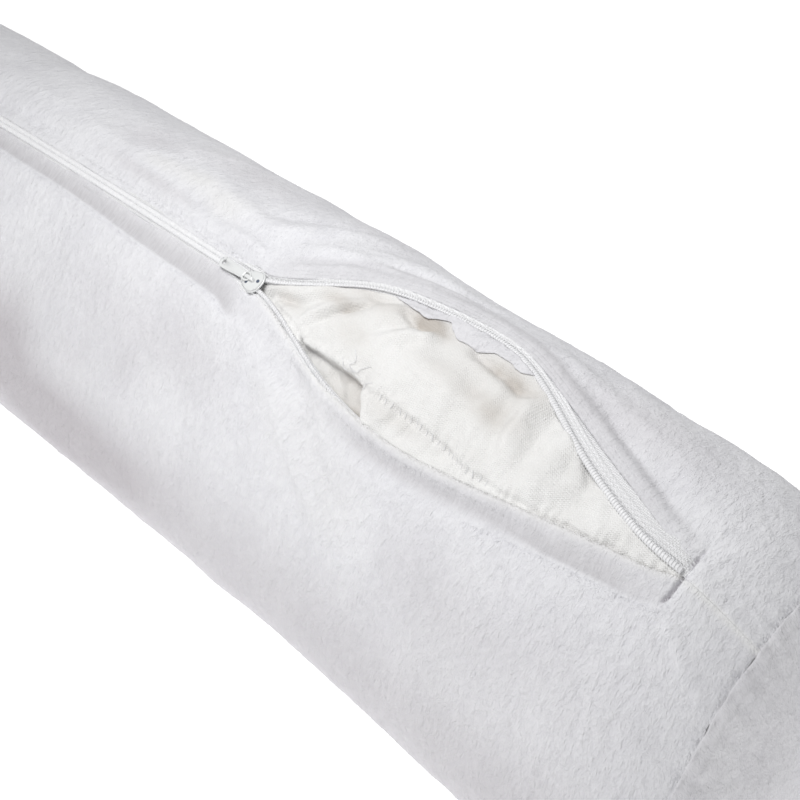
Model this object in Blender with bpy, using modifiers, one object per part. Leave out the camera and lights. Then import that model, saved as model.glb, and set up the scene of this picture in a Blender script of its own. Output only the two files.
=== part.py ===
"""Wedge bolster pillow in a zipped plush cover, half unzipped over its inner pillow.

The pillow lies on its flat base. X runs along its length, Y from the front face to the back face and Z up.
Places on the skin are given as x, and s, the arc length round the section from the zip line, which grows
down the front face and is negative down the back face.
"""

import bmesh
import bpy
import numpy as np
from mathutils import Matrix, Vector

# Section of the filled cover
LENGTH = 0.700
END_CROWN = 0.012
BASE_EDGE_RADIUS = 0.0335
BASE_EDGE_OFFSET = 0.053
RIDGE_RADIUS = 0.059
RIDGE_HEIGHT = 0.1397
FACE_CROWN = 0.0039
CROWN_OVERLAP = 0.020
ZIP_TILT_DEG = 31.5
BOW = 0.011

# Flat foot with straight sides; the cloth around it curves up a little
FOOT_HALF_LENGTH = 0.264
FOOT_HALF_WIDTH = 0.044
FOOT_MIDDLE_Y = 0.008
FOOT_RISE = 0.0005
FOOT_COLUMNS = (17, 22)

# Drawn-in ends
DRAW_LENGTH = 0.060
DRAW_INSET = 0.0100
DRAW_POWER = 3.0
FOOT_SHARE = 0.5
SEAM_DIP = 0.0070
SEAM_DIP_SPREAD = 0.045

# Cover and zip
CLOTH_THICKNESS = 0.0020
GAP = 0.0003
ZIP_END_MARGIN = 0.027
SLIDER_TO_END_SEAM = 0.262
EDGE_TO_COIL = 0.00145
SLIT_END_TAPER = 0.002
BACK_LIP_REACH = 0.0390
FRONT_LIP_REACH = 0.0230
BACK_LIP_LIFT = 0.0050
FRONT_LIP_LIFT = 0.0020
LIFT_FADE = 0.017
LIFT_POWER = 1.5
# Each lip's reach is a sine raised from the first power to the second: the skew moves its widest place
BACK_LIP_SKEW = 0.82
BACK_LIP_POWERS = (2.0, 1.2)
FRONT_LIP_SKEW = 0.78
FRONT_LIP_POWERS = (1.8, 0.7)
TAPE_SHOWN = 0.0022
TAPE_WIDTH = 0.0130
TAPE_THICKNESS = 0.0006
TAPE_OVERRUN = 0.006
TAPE_CLEARANCE = 0.0003
COIL_RADIUS = 0.00090
COIL_OFFSET = 0.00115
COIL_SPLAY = 0.0012
SPLAY_START = 0.003
SPLAY_RUN = 0.006
SPLAY_END = 0.010
SPLAY_END_RUN = 0.008
COIL_DEPTH = 0.0012

# Inner pillow
INNER_WALL_BACK = 0.0015
INNER_DEPTH = 0.0037
INNER_BULGE = 0.0022
BULGE_POWER = 3
BASE_SLACK = 0.0008
BASE_SLACK_FROM = 0.080
BASE_SLACK_FADE = 0.040
SLIDER_DENT = 0.0015
SLIDER_DENT_SIZE = 0.012
SEAM_S = 0.012
SEAM_DEPTH = 0.0014
SEAM_WIDTH = 0.005

# Slider and pull
SLIDER_LENGTH = 0.0095
SLIDER_NOSE_WIDTH = 0.0082
SLIDER_TAIL_WIDTH = 0.0058
PLATE_THICKNESS = 0.0008
TOP_PLATE_Z = 0.0004
BOTTOM_PLATE_Z = -0.0045
POST_RADIUS = 0.0008
POST_X = 0.0030
BRIDGE_LENGTH = 0.0052
BRIDGE_WIDTH = 0.0016
BRIDGE_HEIGHT = 0.0020
BRIDGE_BAR = 0.0007
BRIDGE_X = -0.0010
PULL_LENGTH = 0.0195
PULL_WIDTH = 0.0050
PULL_THICKNESS = 0.0007
PULL_Z = 0.0015
PULL_ROOT_X = -0.0006
WINDOW_LENGTH = 0.0038
WINDOW_WIDTH = 0.0026
TIP_HOLE_RADIUS = 0.0010
BAR_DEPTH = 0.0008
SLIDER_REACH = 0.012
NOSE_SHARE = 0.25
TAIL_SHARE = 0.20
TAIL_PLACE = 0.30
EYE_LENGTH_SHARE = 0.6
EYE_WIDTH_SHARE = 0.8

# Main folds of the plush: x from the slider, s from the zip line, spread across and height
FOLDS = (
    # start_x, start_s, end_x, end_s, spread, height
    (-0.018, -0.017, 0.030, -0.060, 0.0060, 0.0020),
    (0.010, -0.026, 0.072, -0.058, 0.0055, 0.0016),
    (-0.110, -0.020, -0.020, -0.016, 0.0050, -0.0014),
    (-0.070, -0.034, -0.015, -0.024, 0.0060, 0.0016),
    (0.060, -0.060, 0.150, -0.058, 0.0060, -0.0012),
    (0.150, -0.046, 0.225, -0.018, 0.0065, -0.0018),
    (0.150, -0.064, 0.215, -0.038, 0.0080, 0.0014),
    (0.020, 0.018, 0.080, 0.062, 0.0070, 0.0018),
    (0.062, 0.046, 0.115, 0.096, 0.0080, -0.0014),
    (0.070, 0.034, 0.225, 0.022, 0.0060, -0.0014),
    (-0.060, 0.030, -0.030, 0.110, 0.0140, 0.0016),
    (-0.140, 0.030, -0.110, 0.115, 0.0160, -0.0014),
    (0.140, 0.050, 0.170, 0.120, 0.0130, 0.0014),
)
FOLD_OVERRUN = 0.25

# Mesh steps
MERGE_DISTANCE = 1e-5
COVER_COLUMNS = 42
INNER_COLUMNS = 34
COLUMN_CROWDING = 0.50
CLOSED_ROWS = 13
SLIDER_ROWS = 5
OPEN_ROWS = 23
OUTLINE_STEPS = 1441
PANEL_RINGS = 4
DOME_RINGS = 3

PLUSH_WHITE = (0.80, 0.80, 0.83, 1.0)
SATIN_WHITE = (0.79, 0.78, 0.76, 1.0)
TAPE_WHITE = (0.80, 0.80, 0.80, 1.0)
NYLON_WHITE = (0.82, 0.82, 0.81, 1.0)
ENAMEL_WHITE = (0.80, 0.80, 0.78, 1.0)

END_SEAM_X = LENGTH / 2 - END_CROWN
SLIDER_X = END_SEAM_X - SLIDER_TO_END_SEAM
ZIP_END_X = END_SEAM_X - ZIP_END_MARGIN
OPEN_LENGTH = ZIP_END_X - SLIDER_X
CENTRES = np.array([
    (-BASE_EDGE_OFFSET, BASE_EDGE_RADIUS),
    (BASE_EDGE_OFFSET, BASE_EDGE_RADIUS),
    (0.0, RIDGE_HEIGHT - RIDGE_RADIUS),
])
RADII = np.array([BASE_EDGE_RADIUS, BASE_EDGE_RADIUS, RIDGE_RADIUS])


def clear_scene():
    for item in list(bpy.data.objects):
        bpy.data.objects.remove(item, do_unlink=True)


def make_material(name, colour, roughness):
    material = bpy.data.materials.new(name)
    material.use_nodes = True
    shader = material.node_tree.nodes["Principled BSDF"]
    shader.inputs["Base Color"].default_value = colour
    shader.inputs["Roughness"].default_value = roughness
    shader.inputs["Metallic"].default_value = 0.0
    return material


def make_collection(name):
    collection = bpy.data.collections.new(name)
    bpy.context.scene.collection.children.link(collection)
    return collection


def smooth_step(value):
    value = np.clip(value, 0.0, 1.0)
    return value * value * (3.0 - 2.0 * value)


def drawn_in(x):
    """How far the section is drawn in at x, from 0 along the middle to 1 at the end seams."""
    return np.clip((abs(x) - (END_SEAM_X - DRAW_LENGTH)) / DRAW_LENGTH, 0.0, 1.0) ** DRAW_POWER


def outline(x):
    """Arc lengths, points, outward angles of the section at x, from the zip line round by the front face."""
    inset = DRAW_INSET * drawn_in(x)
    centres = CENTRES - (0.0, FOOT_SHARE * inset)
    radii = RADII - inset
    angle = np.pi / 2 + np.radians(ZIP_TILT_DEG) + np.linspace(0.0, 2 * np.pi, OUTLINE_STEPS)
    normal = np.stack([np.cos(angle), np.sin(angle)], axis=1)
    active = (normal @ centres.T + radii).argmax(axis=1)
    points = centres[active] + radii[active, None] * normal
    steps = np.linalg.norm(np.diff(points, axis=0), axis=1)
    arc = np.concatenate([[0.0], np.cumsum(steps)])
    return arc, points, angle, active, normal


def skin(x, share, rise):
    """World points at x, at shares 0 to 1 of the way round the section, raised by rise along the normal."""
    arc, points, angle, active, normal = outline(x)
    s = np.asarray(share) * arc[-1]
    y = np.interp(s, arc, points[:, 0])
    z = np.interp(s, arc, points[:, 1])
    turn = np.interp(s, arc, angle)
    lift = np.asarray(rise, dtype=float) + np.zeros_like(s)
    for i in np.nonzero(np.diff(active))[0]:
        on_base = normal[i, 1] < -0.99
        if not on_base:
            run = arc[i + 1] - arc[i] + 2 * CROWN_OVERLAP
            across = np.clip((s - arc[i] + CROWN_OVERLAP) / run, 0.0, 1.0)
            lift = lift + FACE_CROWN * np.sin(np.pi * across) ** 2
    bow = BOW * (1.0 - (x / END_SEAM_X) ** 2)
    return np.stack([
        np.full_like(s, x),
        y + lift * np.cos(turn) + bow,
        z + lift * np.sin(turn),
    ], axis=1)


def girth(x):
    return outline(x)[0][-1]


def opened(x):
    """0 at the slider, 1 at the near end of the zip."""
    return np.clip((x - SLIDER_X) / OPEN_LENGTH, 0.0, 1.0)


def back_reach(x):
    """Arc from the zip line to the opened edge on the back side."""
    t = opened(x)
    first, last = BACK_LIP_POWERS
    return BACK_LIP_REACH * np.sin(np.pi * t**BACK_LIP_SKEW) ** (first + (last - first) * t)


def front_reach(x):
    """Arc from the zip line to the opened edge on the front side."""
    t = opened(x)
    first, last = FRONT_LIP_POWERS
    return FRONT_LIP_REACH * np.sin(np.pi * t**FRONT_LIP_SKEW) ** (first + (last - first) * t)


def slit_taper(x):
    """1 along the zip, 0 beyond its two ends, where the cover is sewn shut."""
    return np.clip((ZIP_END_X - abs(x)) / SLIT_END_TAPER, 0.0, 1.0)


def coil_lines(x):
    """Arcs from the zip line to the middles of the front and back coils."""
    splay = COIL_SPLAY * smooth_step((x - SLIDER_X + SPLAY_START) / SPLAY_RUN)
    closing = splay * (1.0 - smooth_step((x - ZIP_END_X + SPLAY_END) / SPLAY_END_RUN))
    return front_reach(x) + COIL_OFFSET + closing, back_reach(x) + COIL_OFFSET + closing


def cover_edges(x):
    """Arcs from the zip line to the cover's front and back edges, beside the coils."""
    shown = TAPE_SHOWN * np.sin(np.pi * opened(x))
    front, back = coil_lines(x)
    return (front + EDGE_TO_COIL) * slit_taper(x), (back + EDGE_TO_COIL + shown) * slit_taper(x)


def relief(x, s):
    """Height of the main folds, each a soft ridge or trough along a line, and the end seams' dip."""
    along = x - SLIDER_X
    height = -SEAM_DIP * drawn_in(x) * np.exp(-((s / SEAM_DIP_SPREAD) ** 2))
    for start_x, start_s, end_x, end_s, spread, fold in FOLDS:
        run = np.array([end_x - start_x, end_s - start_s])
        length = np.hypot(*run)
        forward = ((along - start_x) * run[0] + (s - start_s) * run[1]) / length**2
        across = ((along - start_x) * run[1] - (s - start_s) * run[0]) / length
        inside = np.minimum(forward, 1.0 - forward) + FOLD_OVERRUN
        fade = smooth_step(inside / (2 * FOLD_OVERRUN))
        height += fold * fade * np.exp(-((across / spread) ** 2))
    return height


def lip_lift(x, s):
    """How far the cover's free edges stand off the inner pillow."""
    front, back = cover_edges(x)
    swell = np.sin(np.pi * opened(x)) ** LIFT_POWER
    beyond_front = np.maximum(s - front, 0.0)
    beyond_back = np.maximum(-s - back, 0.0)
    front_lift = FRONT_LIP_LIFT * swell * np.exp(-((beyond_front / LIFT_FADE) ** 2))
    back_lift = BACK_LIP_LIFT * swell * np.exp(-((beyond_back / LIFT_FADE) ** 2))
    return np.where(s > 0.0, front_lift, back_lift)


def cover_rise(x, s):
    return relief(x, s) + lip_lift(x, s)


def crowded(fraction):
    """Shares from 0 to 1, closer together near both ends."""
    return fraction - COLUMN_CROWDING * np.sin(2 * np.pi * fraction) / (2 * np.pi)


def signed_arc(share, around):
    """The arc from the zip line, negative on the back half."""
    arc = share * around
    return np.where(arc > around / 2, arc - around, arc)


def zip_stations():
    """X of the rows along the zip, closing up towards the slider and even along the opening."""
    far, near = -ZIP_END_X + SLIT_END_TAPER, ZIP_END_X - SLIT_END_TAPER
    before, after = SLIDER_X - SLIDER_REACH, SLIDER_X + SLIDER_REACH
    closing_up = 1.0 - (1.0 - np.linspace(0.0, 1.0, CLOSED_ROWS)) ** 1.5
    return np.concatenate([
        far + (before - far) * closing_up,
        np.linspace(before, after, SLIDER_ROWS)[1:],
        np.linspace(after, near, OPEN_ROWS)[1:],
    ])


def cover_stations():
    """X of the cover's rows: the zip's, and closer ones out to the end seams."""
    beyond = np.linspace(ZIP_END_X, END_SEAM_X, 4)
    return np.concatenate([-beyond[::-1], zip_stations(), beyond])


def grid_object(name, rows, columns, place, collection, material, merge=False):
    """A primitive grid whose point at row i and column j goes where place(i)[j] says."""
    mesh = bpy.data.meshes.new(name)
    grid = bmesh.new()
    bmesh.ops.create_grid(grid, x_segments=rows - 1, y_segments=columns - 1, size=1.0)
    placed = [place(i) for i in range(rows)]
    for vertex in grid.verts:
        i = round((vertex.co.x + 1.0) / 2.0 * (rows - 1))
        j = round((vertex.co.y + 1.0) / 2.0 * (columns - 1))
        vertex.co = Vector(placed[i][j])
    if merge:
        bmesh.ops.remove_doubles(grid, verts=grid.verts, dist=MERGE_DISTANCE)
    grid.to_mesh(mesh)
    grid.free()
    item = bpy.data.objects.new(name, mesh)
    collection.objects.link(item)
    mesh.materials.append(material)
    mesh.shade_smooth()
    return item


def face_outwards(item, out_point):
    """Turns the surface so that its normals point away from out_point."""
    total = sum((face.center - Vector(out_point)).dot(face.normal) * face.area for face in item.data.polygons)
    if total < 0.0:
        item.data.flip_normals()


def thicken(item, thickness):
    """Gives a surface its cloth thickness, inwards from its outer face."""
    solid = item.modifiers.new("thickness", "SOLIDIFY")
    solid.thickness = thickness
    solid.offset = -1.0
    solid.use_even_offset = True


def foot_arcs(x):
    """Arcs at which the section at x crosses the two straight sides of the foot."""
    arc, _, _, active, _ = outline(x)
    base_start = arc[np.nonzero((active[:-1] == 0) & (active[1:] == 1))[0][0]]
    middle = base_start + BASE_EDGE_OFFSET + FOOT_MIDDLE_Y - BOW * (1.0 - (x / END_SEAM_X) ** 2)
    return middle - FOOT_HALF_WIDTH, middle + FOOT_HALF_WIDTH


def seated(x, points):
    """Rests a row of the cover on its foot: flat between two columns there, a little higher all round."""
    first, last = FOOT_COLUMNS
    foot = np.zeros(len(points), dtype=bool)
    if abs(x) <= FOOT_HALF_LENGTH:
        foot[first:last + 1] = True
        points[first, 1] = FOOT_MIDDLE_Y - FOOT_HALF_WIDTH
        points[last, 1] = FOOT_MIDDLE_Y + FOOT_HALF_WIDTH
    points[:, 2] = np.where(foot, 0.0, np.maximum(points[:, 2], FOOT_RISE))
    return points


def make_cover_wrap(collection, material):
    stations = cover_stations()
    shares = crowded(np.linspace(0.0, 1.0, COVER_COLUMNS + 1))

    def place(i):
        x = stations[i]
        around = girth(x)
        front, back = cover_edges(x)
        marks = (0.0, *shares[list(FOOT_COLUMNS)], 1.0)
        arc = np.interp(shares, marks, (front, *foot_arcs(x), around - back))
        s = signed_arc(arc / around, around)
        return seated(x, skin(x, arc / around, cover_rise(x, s)))

    wrap = grid_object("cover_wrap", len(stations), COVER_COLUMNS + 1, place, collection, material, True)
    face_outwards(wrap, (0.0, BOW, RIDGE_HEIGHT / 2))
    thicken(wrap, CLOTH_THICKNESS)
    return wrap


def dome(side, radial, shares, plate_x, crown, sink):
    """A ring of a domed end: radial 1 is the rim, which follows the cover's end edge."""
    end_x = side * END_SEAM_X
    rim = skin(end_x, shares, relief(end_x, signed_arc(shares, girth(end_x))) - sink)
    middle = rim[:-1].mean(axis=0)
    ring = middle + radial * (rim - middle)
    ring[:, 0] = side * (plate_x + crown * (1.0 - radial**2))
    return ring


def make_end_panel(name, side, collection, material):
    shares = crowded(np.linspace(0.0, 1.0, COVER_COLUMNS + 1))
    radials = np.linspace(0.0, 1.0, PANEL_RINGS + 1)
    rim_x = END_SEAM_X + CLOTH_THICKNESS + GAP

    def place(i):
        return dome(side, radials[i], shares, rim_x, LENGTH / 2 - rim_x, 0.0)

    panel = grid_object(name, PANEL_RINGS + 1, COVER_COLUMNS + 1, place, collection, material, True)
    face_outwards(panel, (0.0, BOW, RIDGE_HEIGHT / 2))
    thicken(panel, CLOTH_THICKNESS)
    return panel


def inner_rise(x, s):
    """Height of the inner pillow's skin, below the cover and swelling into the opening, with its seam."""
    front, back = cover_edges(x)
    swell = np.sin(np.pi * opened(x)) ** BULGE_POWER
    inside = np.where(s > 0.0, s / max(front, GAP), -s / max(back, GAP))
    bulge = INNER_BULGE * swell * smooth_step(1.0 - inside)
    seam = SEAM_DEPTH * swell * np.exp(-(((s - SEAM_S) / SEAM_WIDTH) ** 2))
    dent = SLIDER_DENT * np.exp(-((x - SLIDER_X) ** 2 + s**2) / SLIDER_DENT_SIZE**2)
    slack = BASE_SLACK * smooth_step((abs(s) - BASE_SLACK_FROM) / BASE_SLACK_FADE)
    return relief(x, s) - INNER_DEPTH - slack + bulge - seam - dent


def make_inner_pillow(collection, material):
    wall_x = END_SEAM_X - INNER_WALL_BACK
    tube = cover_stations()
    tube = tube[abs(tube) < wall_x]
    rows = 1 + DOME_RINGS + len(tube) + DOME_RINGS + 1
    radials = np.linspace(0.0, 1.0, DOME_RINGS + 2)[1:-1]
    crown = LENGTH / 2 - CLOTH_THICKNESS - 2 * GAP - wall_x

    mesh = bpy.data.meshes.new("inner_pillow")
    ball = bmesh.new()
    bmesh.ops.create_uvsphere(ball, u_segments=INNER_COLUMNS, v_segments=rows - 1, radius=1.0)

    def ring_points(row):
        shares = crowded(np.arange(INNER_COLUMNS) / INNER_COLUMNS)
        closed = np.append(shares, 1.0)
        if row <= DOME_RINGS or row >= rows - 1 - DOME_RINGS:
            side = -1 if row <= DOME_RINGS else 1
            step = row if side < 0 else rows - 1 - row
            radial = 0.0 if step == 0 else radials[step - 1]
            return dome(side, radial, closed, wall_x, crown, INNER_DEPTH)[:-1]
        x = tube[row - 1 - DOME_RINGS]
        s = signed_arc(shares, girth(x))
        return skin(x, shares, inner_rise(x, s))

    placed = [ring_points(row) for row in range(rows)]
    for vertex in ball.verts:
        row = round(np.arccos(np.clip(-vertex.co.z, -1.0, 1.0)) / np.pi * (rows - 1))
        turn = np.arctan2(vertex.co.y, vertex.co.x) / (2 * np.pi)
        vertex.co = Vector(placed[row][round(turn * INNER_COLUMNS) % INNER_COLUMNS])
    ball.to_mesh(mesh)
    ball.free()
    pillow = bpy.data.objects.new("inner_pillow", mesh)
    face_outwards(pillow, (0.0, BOW, RIDGE_HEIGHT / 2))
    collection.objects.link(pillow)
    mesh.materials.append(material)
    mesh.shade_smooth()
    return pillow


def make_tape(name, is_front, collection, material):
    middle = zip_stations()
    ends = ZIP_END_X + TAPE_OVERRUN
    stations = np.concatenate([[-ends], middle, [ends]])
    shares = np.linspace(0.0, 1.0, 4)
    inner_side = COIL_RADIUS

    def place(i):
        x = stations[i]
        line = coil_lines(x)[0 if is_front else 1]
        s = line - inner_side + TAPE_WIDTH * shares
        signed = s if is_front else -s
        around = girth(x)
        top = CLOTH_THICKNESS + GAP + TAPE_CLEARANCE
        return skin(x, (signed % around) / around, cover_rise(x, signed) - top)

    tape = grid_object(name, len(stations), len(shares), place, collection, material)
    face_outwards(tape, (0.0, BOW, 0.0))
    thicken(tape, TAPE_THICKNESS)
    return tape


def make_coil(name, is_front, collection, material):
    data = bpy.data.curves.new(name, "CURVE")
    data.dimensions = "3D"
    stations = np.append(zip_stations()[0] + SLIT_END_TAPER, zip_stations()[1:-1])
    spline = data.splines.new("POLY")
    spline.points.add(len(stations) - 1)
    for point, x in zip(spline.points, stations):
        line = coil_lines(x)[0 if is_front else 1]
        s = np.array([line if is_front else -line])
        around = girth(x)
        place = skin(x, (s % around) / around, cover_rise(x, s) - COIL_DEPTH)[0]
        point.co = (*place, 1.0)
    data.bevel_depth = COIL_RADIUS
    data.bevel_resolution = 1
    data.use_fill_caps = True
    data.materials.append(material)
    coil = bpy.data.objects.new(name, data)
    collection.objects.link(coil)
    return coil


def slider_matrix():
    """Places the slider's own axes on the skin: x along the zip towards the opening, z outwards."""
    step = 0.001
    share = np.array([0.0])
    here = Vector(skin(SLIDER_X, share, 0.0)[0])
    ahead = Vector(skin(SLIDER_X + step, share, 0.0)[0])
    above = Vector(skin(SLIDER_X, share, step)[0])
    along = (ahead - here).normalized()
    out = (above - here).normalized()
    across = out.cross(along).normalized()
    out = along.cross(across)
    turn = Matrix((along, across, out)).transposed().to_4x4()
    return Matrix.Translation(here) @ turn


def flat_outline(name, loops, thickness, z, collection, hide=False):
    """A flat plate with its lowest face at z, from closed loops of 2-D points, the first its edge."""
    data = bpy.data.curves.new(name + "_outline", "CURVE")
    data.dimensions = "2D"
    data.fill_mode = "BOTH"
    data.extrude = thickness / 2
    for loop in loops:
        spline = data.splines.new("POLY")
        spline.points.add(len(loop) - 1)
        for point, (x, y) in zip(spline.points, loop):
            point.co = (x, y, 0.0, 1.0)
        spline.use_cyclic_u = True
    guide = bpy.data.objects.new(name + "_outline", data)
    bpy.context.scene.collection.objects.link(guide)
    bpy.context.view_layer.update()
    evaluated = guide.evaluated_get(bpy.context.evaluated_depsgraph_get())
    mesh = bpy.data.meshes.new_from_object(evaluated)
    bpy.data.objects.remove(guide, do_unlink=True)
    mesh.name = name
    plate = bmesh.new()
    plate.from_mesh(mesh)
    bmesh.ops.remove_doubles(plate, verts=plate.verts, dist=1e-6)
    bmesh.ops.translate(plate, verts=plate.verts, vec=(0.0, 0.0, z + thickness / 2))
    bmesh.ops.recalc_face_normals(plate, faces=plate.faces)
    plate.to_mesh(mesh)
    plate.free()
    item = bpy.data.objects.new(name, mesh)
    collection.objects.link(item)
    if hide:
        item.hide_render = True
        item.display_type = "WIRE"
    return item


def ellipse(centre_x, half_x, half_y, steps, start=0.0, end=2 * np.pi, close=False):
    """Points of an arc of an ellipse on the plate's middle line."""
    turns = np.linspace(start, end, steps, endpoint=close)
    return [(centre_x + half_x * np.cos(a), half_y * np.sin(a)) for a in turns]


def rectangle(centre_x, length, width):
    x, y = length / 2, width / 2
    return [(centre_x - x, -y), (centre_x + x, -y), (centre_x + x, y), (centre_x - x, y)]


def slider_outline():
    """Rounded nose at +x and a narrower rounded tail at -x."""
    reach, quarter = SLIDER_LENGTH * NOSE_SHARE, np.pi / 2
    nose = ellipse(reach, reach, SLIDER_NOSE_WIDTH / 2, 9, -quarter, quarter, True)
    middle, reach = -SLIDER_LENGTH * TAIL_PLACE, SLIDER_LENGTH * TAIL_SHARE
    tail = ellipse(middle, reach, SLIDER_TAIL_WIDTH / 2, 7, quarter, 3 * quarter, True)
    return nose + tail


def join(item, helper, operation):
    boolean = item.modifiers.new(helper.name, "BOOLEAN")
    boolean.operation = operation
    boolean.object = helper
    boolean.solver = "EXACT"


def make_slider(collection, helpers, material):
    slider = flat_outline("zip_slider", [slider_outline()], PLATE_THICKNESS, TOP_PLATE_Z, collection)
    bottom = flat_outline("slider_bottom_plate", [slider_outline()], PLATE_THICKNESS, BOTTOM_PLATE_Z,
                          helpers, hide=True)
    post_from = BOTTOM_PLATE_Z + PLATE_THICKNESS / 2
    post_height = TOP_PLATE_Z + PLATE_THICKNESS / 2 - post_from
    post_edge = ellipse(POST_X, POST_RADIUS, POST_RADIUS, 10)
    post = flat_outline("slider_post", [post_edge], post_height, post_from, helpers, hide=True)
    bridge_from = TOP_PLATE_Z + PLATE_THICKNESS / 2
    top = TOP_PLATE_Z + PLATE_THICKNESS
    bridge = flat_outline("slider_bridge", [rectangle(BRIDGE_X, BRIDGE_LENGTH, BRIDGE_WIDTH)],
                          top + BRIDGE_HEIGHT - bridge_from, bridge_from, helpers, hide=True)
    arch_edge = rectangle(BRIDGE_X, BRIDGE_LENGTH - 2 * BAR_DEPTH, 2 * BRIDGE_WIDTH)
    arch = flat_outline("bridge_arch", [arch_edge], BRIDGE_HEIGHT - BRIDGE_BAR, top, helpers, hide=True)
    for helper, operation in ((bottom, "UNION"), (post, "UNION"), (bridge, "UNION"), (arch, "DIFFERENCE")):
        join(slider, helper, operation)
    slider.data.materials.append(material)
    return [slider, bottom, post, bridge, arch]


def make_pull(collection, material):
    half = PULL_WIDTH / 2
    root = PULL_ROOT_X
    tip_centre = root - PULL_LENGTH + half
    edge = ellipse(tip_centre, half, half, 9, np.pi / 2, 3 * np.pi / 2, True)
    eye = half * EYE_LENGTH_SHARE
    edge += ellipse(root - eye, eye, half * EYE_WIDTH_SHARE, 7, -np.pi / 2, np.pi / 2, True)
    window = rectangle(root - BAR_DEPTH - WINDOW_LENGTH / 2, WINDOW_LENGTH, WINDOW_WIDTH)
    hole = ellipse(tip_centre, TIP_HOLE_RADIUS, TIP_HOLE_RADIUS, 10)
    pull = flat_outline("zip_pull", [edge, window, hole], PULL_THICKNESS, PULL_Z, collection)
    pull.data.materials.append(material)
    return pull


def centre_on_base(parts, origin):
    """Moves the origin empty so that the whole pillow is centred on it, base at zero."""
    bpy.context.view_layer.update()
    graph = bpy.context.evaluated_depsgraph_get()
    corners = []
    for part in parts:
        evaluated = part.evaluated_get(graph)
        corners += [evaluated.matrix_world @ Vector(corner) for corner in evaluated.bound_box]
    lows = [min(corner[axis] for corner in corners) for axis in range(3)]
    highs = [max(corner[axis] for corner in corners) for axis in range(3)]
    origin.location = (-(lows[0] + highs[0]) / 2, -(lows[1] + highs[1]) / 2, 0.0)


def main():
    clear_scene()
    parts = make_collection("wedge_bolster_pillow")
    helpers = make_collection("slider_helpers")
    helpers.hide_render = True
    plush = make_material("plush", PLUSH_WHITE, 0.95)
    satin = make_material("satin", SATIN_WHITE, 0.55)
    tape = make_material("zip_tape", TAPE_WHITE, 0.85)
    nylon = make_material("zip_coil", NYLON_WHITE, 0.40)
    enamel = make_material("zip_enamel", ENAMEL_WHITE, 0.25)

    soft = [
        make_cover_wrap(parts, plush),
        make_end_panel("end_panel_near", 1, parts, plush),
        make_end_panel("end_panel_far", -1, parts, plush),
        make_inner_pillow(parts, satin),
        make_tape("zip_tape_front", True, parts, tape),
        make_tape("zip_tape_back", False, parts, tape),
        make_coil("zip_coil_front", True, parts, nylon),
        make_coil("zip_coil_back", False, parts, nylon),
    ]
    hard = make_slider(parts, helpers, enamel) + [make_pull(parts, enamel)]
    on_skin = slider_matrix()
    origin = bpy.data.objects.new("pillow_origin", None)
    parts.objects.link(origin)
    for item in hard:
        item.matrix_world = on_skin
    for item in soft + hard:
        item.parent = origin
    centre_on_base(soft, origin)


main()
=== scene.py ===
"""Dresses the wedge bolster pillow: plush cover, half-open coil zip and satin inner pillow.

Places on the pillow's skin are given as x, along the pillow, and s, the arc round its section from the
zip line: positive down the front face, negative down the back face. Sizes are in metres.
"""

from __future__ import annotations

import logging
import math
from dataclasses import dataclass, field
from enum import Enum

import bpy
import numpy as np
from mathutils import Matrix, Vector

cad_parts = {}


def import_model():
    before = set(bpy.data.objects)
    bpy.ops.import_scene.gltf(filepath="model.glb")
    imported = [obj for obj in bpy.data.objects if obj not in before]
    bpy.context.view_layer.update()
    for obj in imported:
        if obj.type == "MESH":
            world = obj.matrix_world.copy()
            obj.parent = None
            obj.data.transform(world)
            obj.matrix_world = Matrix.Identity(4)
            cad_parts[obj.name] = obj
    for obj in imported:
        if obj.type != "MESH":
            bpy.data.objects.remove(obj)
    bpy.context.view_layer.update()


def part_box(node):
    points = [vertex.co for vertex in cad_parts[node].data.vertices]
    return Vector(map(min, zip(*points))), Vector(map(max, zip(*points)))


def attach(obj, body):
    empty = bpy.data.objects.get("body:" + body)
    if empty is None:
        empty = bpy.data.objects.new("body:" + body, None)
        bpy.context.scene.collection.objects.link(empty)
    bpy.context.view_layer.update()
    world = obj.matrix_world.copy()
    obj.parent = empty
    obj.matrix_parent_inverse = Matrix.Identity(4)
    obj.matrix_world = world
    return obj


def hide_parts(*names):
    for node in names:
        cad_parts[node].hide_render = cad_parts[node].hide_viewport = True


LOG = logging.getLogger("bolster")
ROOT_BODY = "root"
IMAGE_SIDE = 800
TAU = 2.0 * math.pi
MM = 0.001

# Millimetres from the turned edge, where no stitch line is near; and the painted shade given to plain plush
# pieces.
FAR_FROM_EDGE = 50.0
PLAIN_PAINTED_SHADE = 0.25
WHITE = (1.0, 1.0, 1.0, 1.0)

Array = np.ndarray
Colour = tuple[float, float, float, float]
Material = bpy.types.Material
Piece = bpy.types.Object
Socket = bpy.types.NodeSocket
Tree = bpy.types.NodeTree


class Side(Enum):
    """The two sides of the zip line: FRONT faces the camera, BACK faces away."""

    FRONT = 1
    BACK = -1


def smooth(value: Array | float) -> Array:
    """The cubic 3t^2 - 2t^3 of the value clipped to 0..1."""
    t = np.clip(value, 0.0, 1.0)
    return t * t * (3.0 - 2.0 * t)


def bell(value: Array, spread: float) -> Array:
    """A Gaussian hump: exp of minus (value / spread) squared."""
    return np.exp(-((value / spread) ** 2))


def ramp(value: Array | float, start: float, run: float) -> Array:
    """A smooth step from 0 at the start to 1 a run further on."""
    return smooth((value - start) / run)


def blend(low: Array | float, high: Array | float, share: Array) -> Array:
    """The value a share of the way from low to high."""
    return low + (high - low) * share


def unit(vectors: Array) -> Array:
    """The vectors at length 1."""
    return vectors / np.maximum(np.linalg.norm(vectors, axis=-1, keepdims=True), 1e-12)


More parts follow.
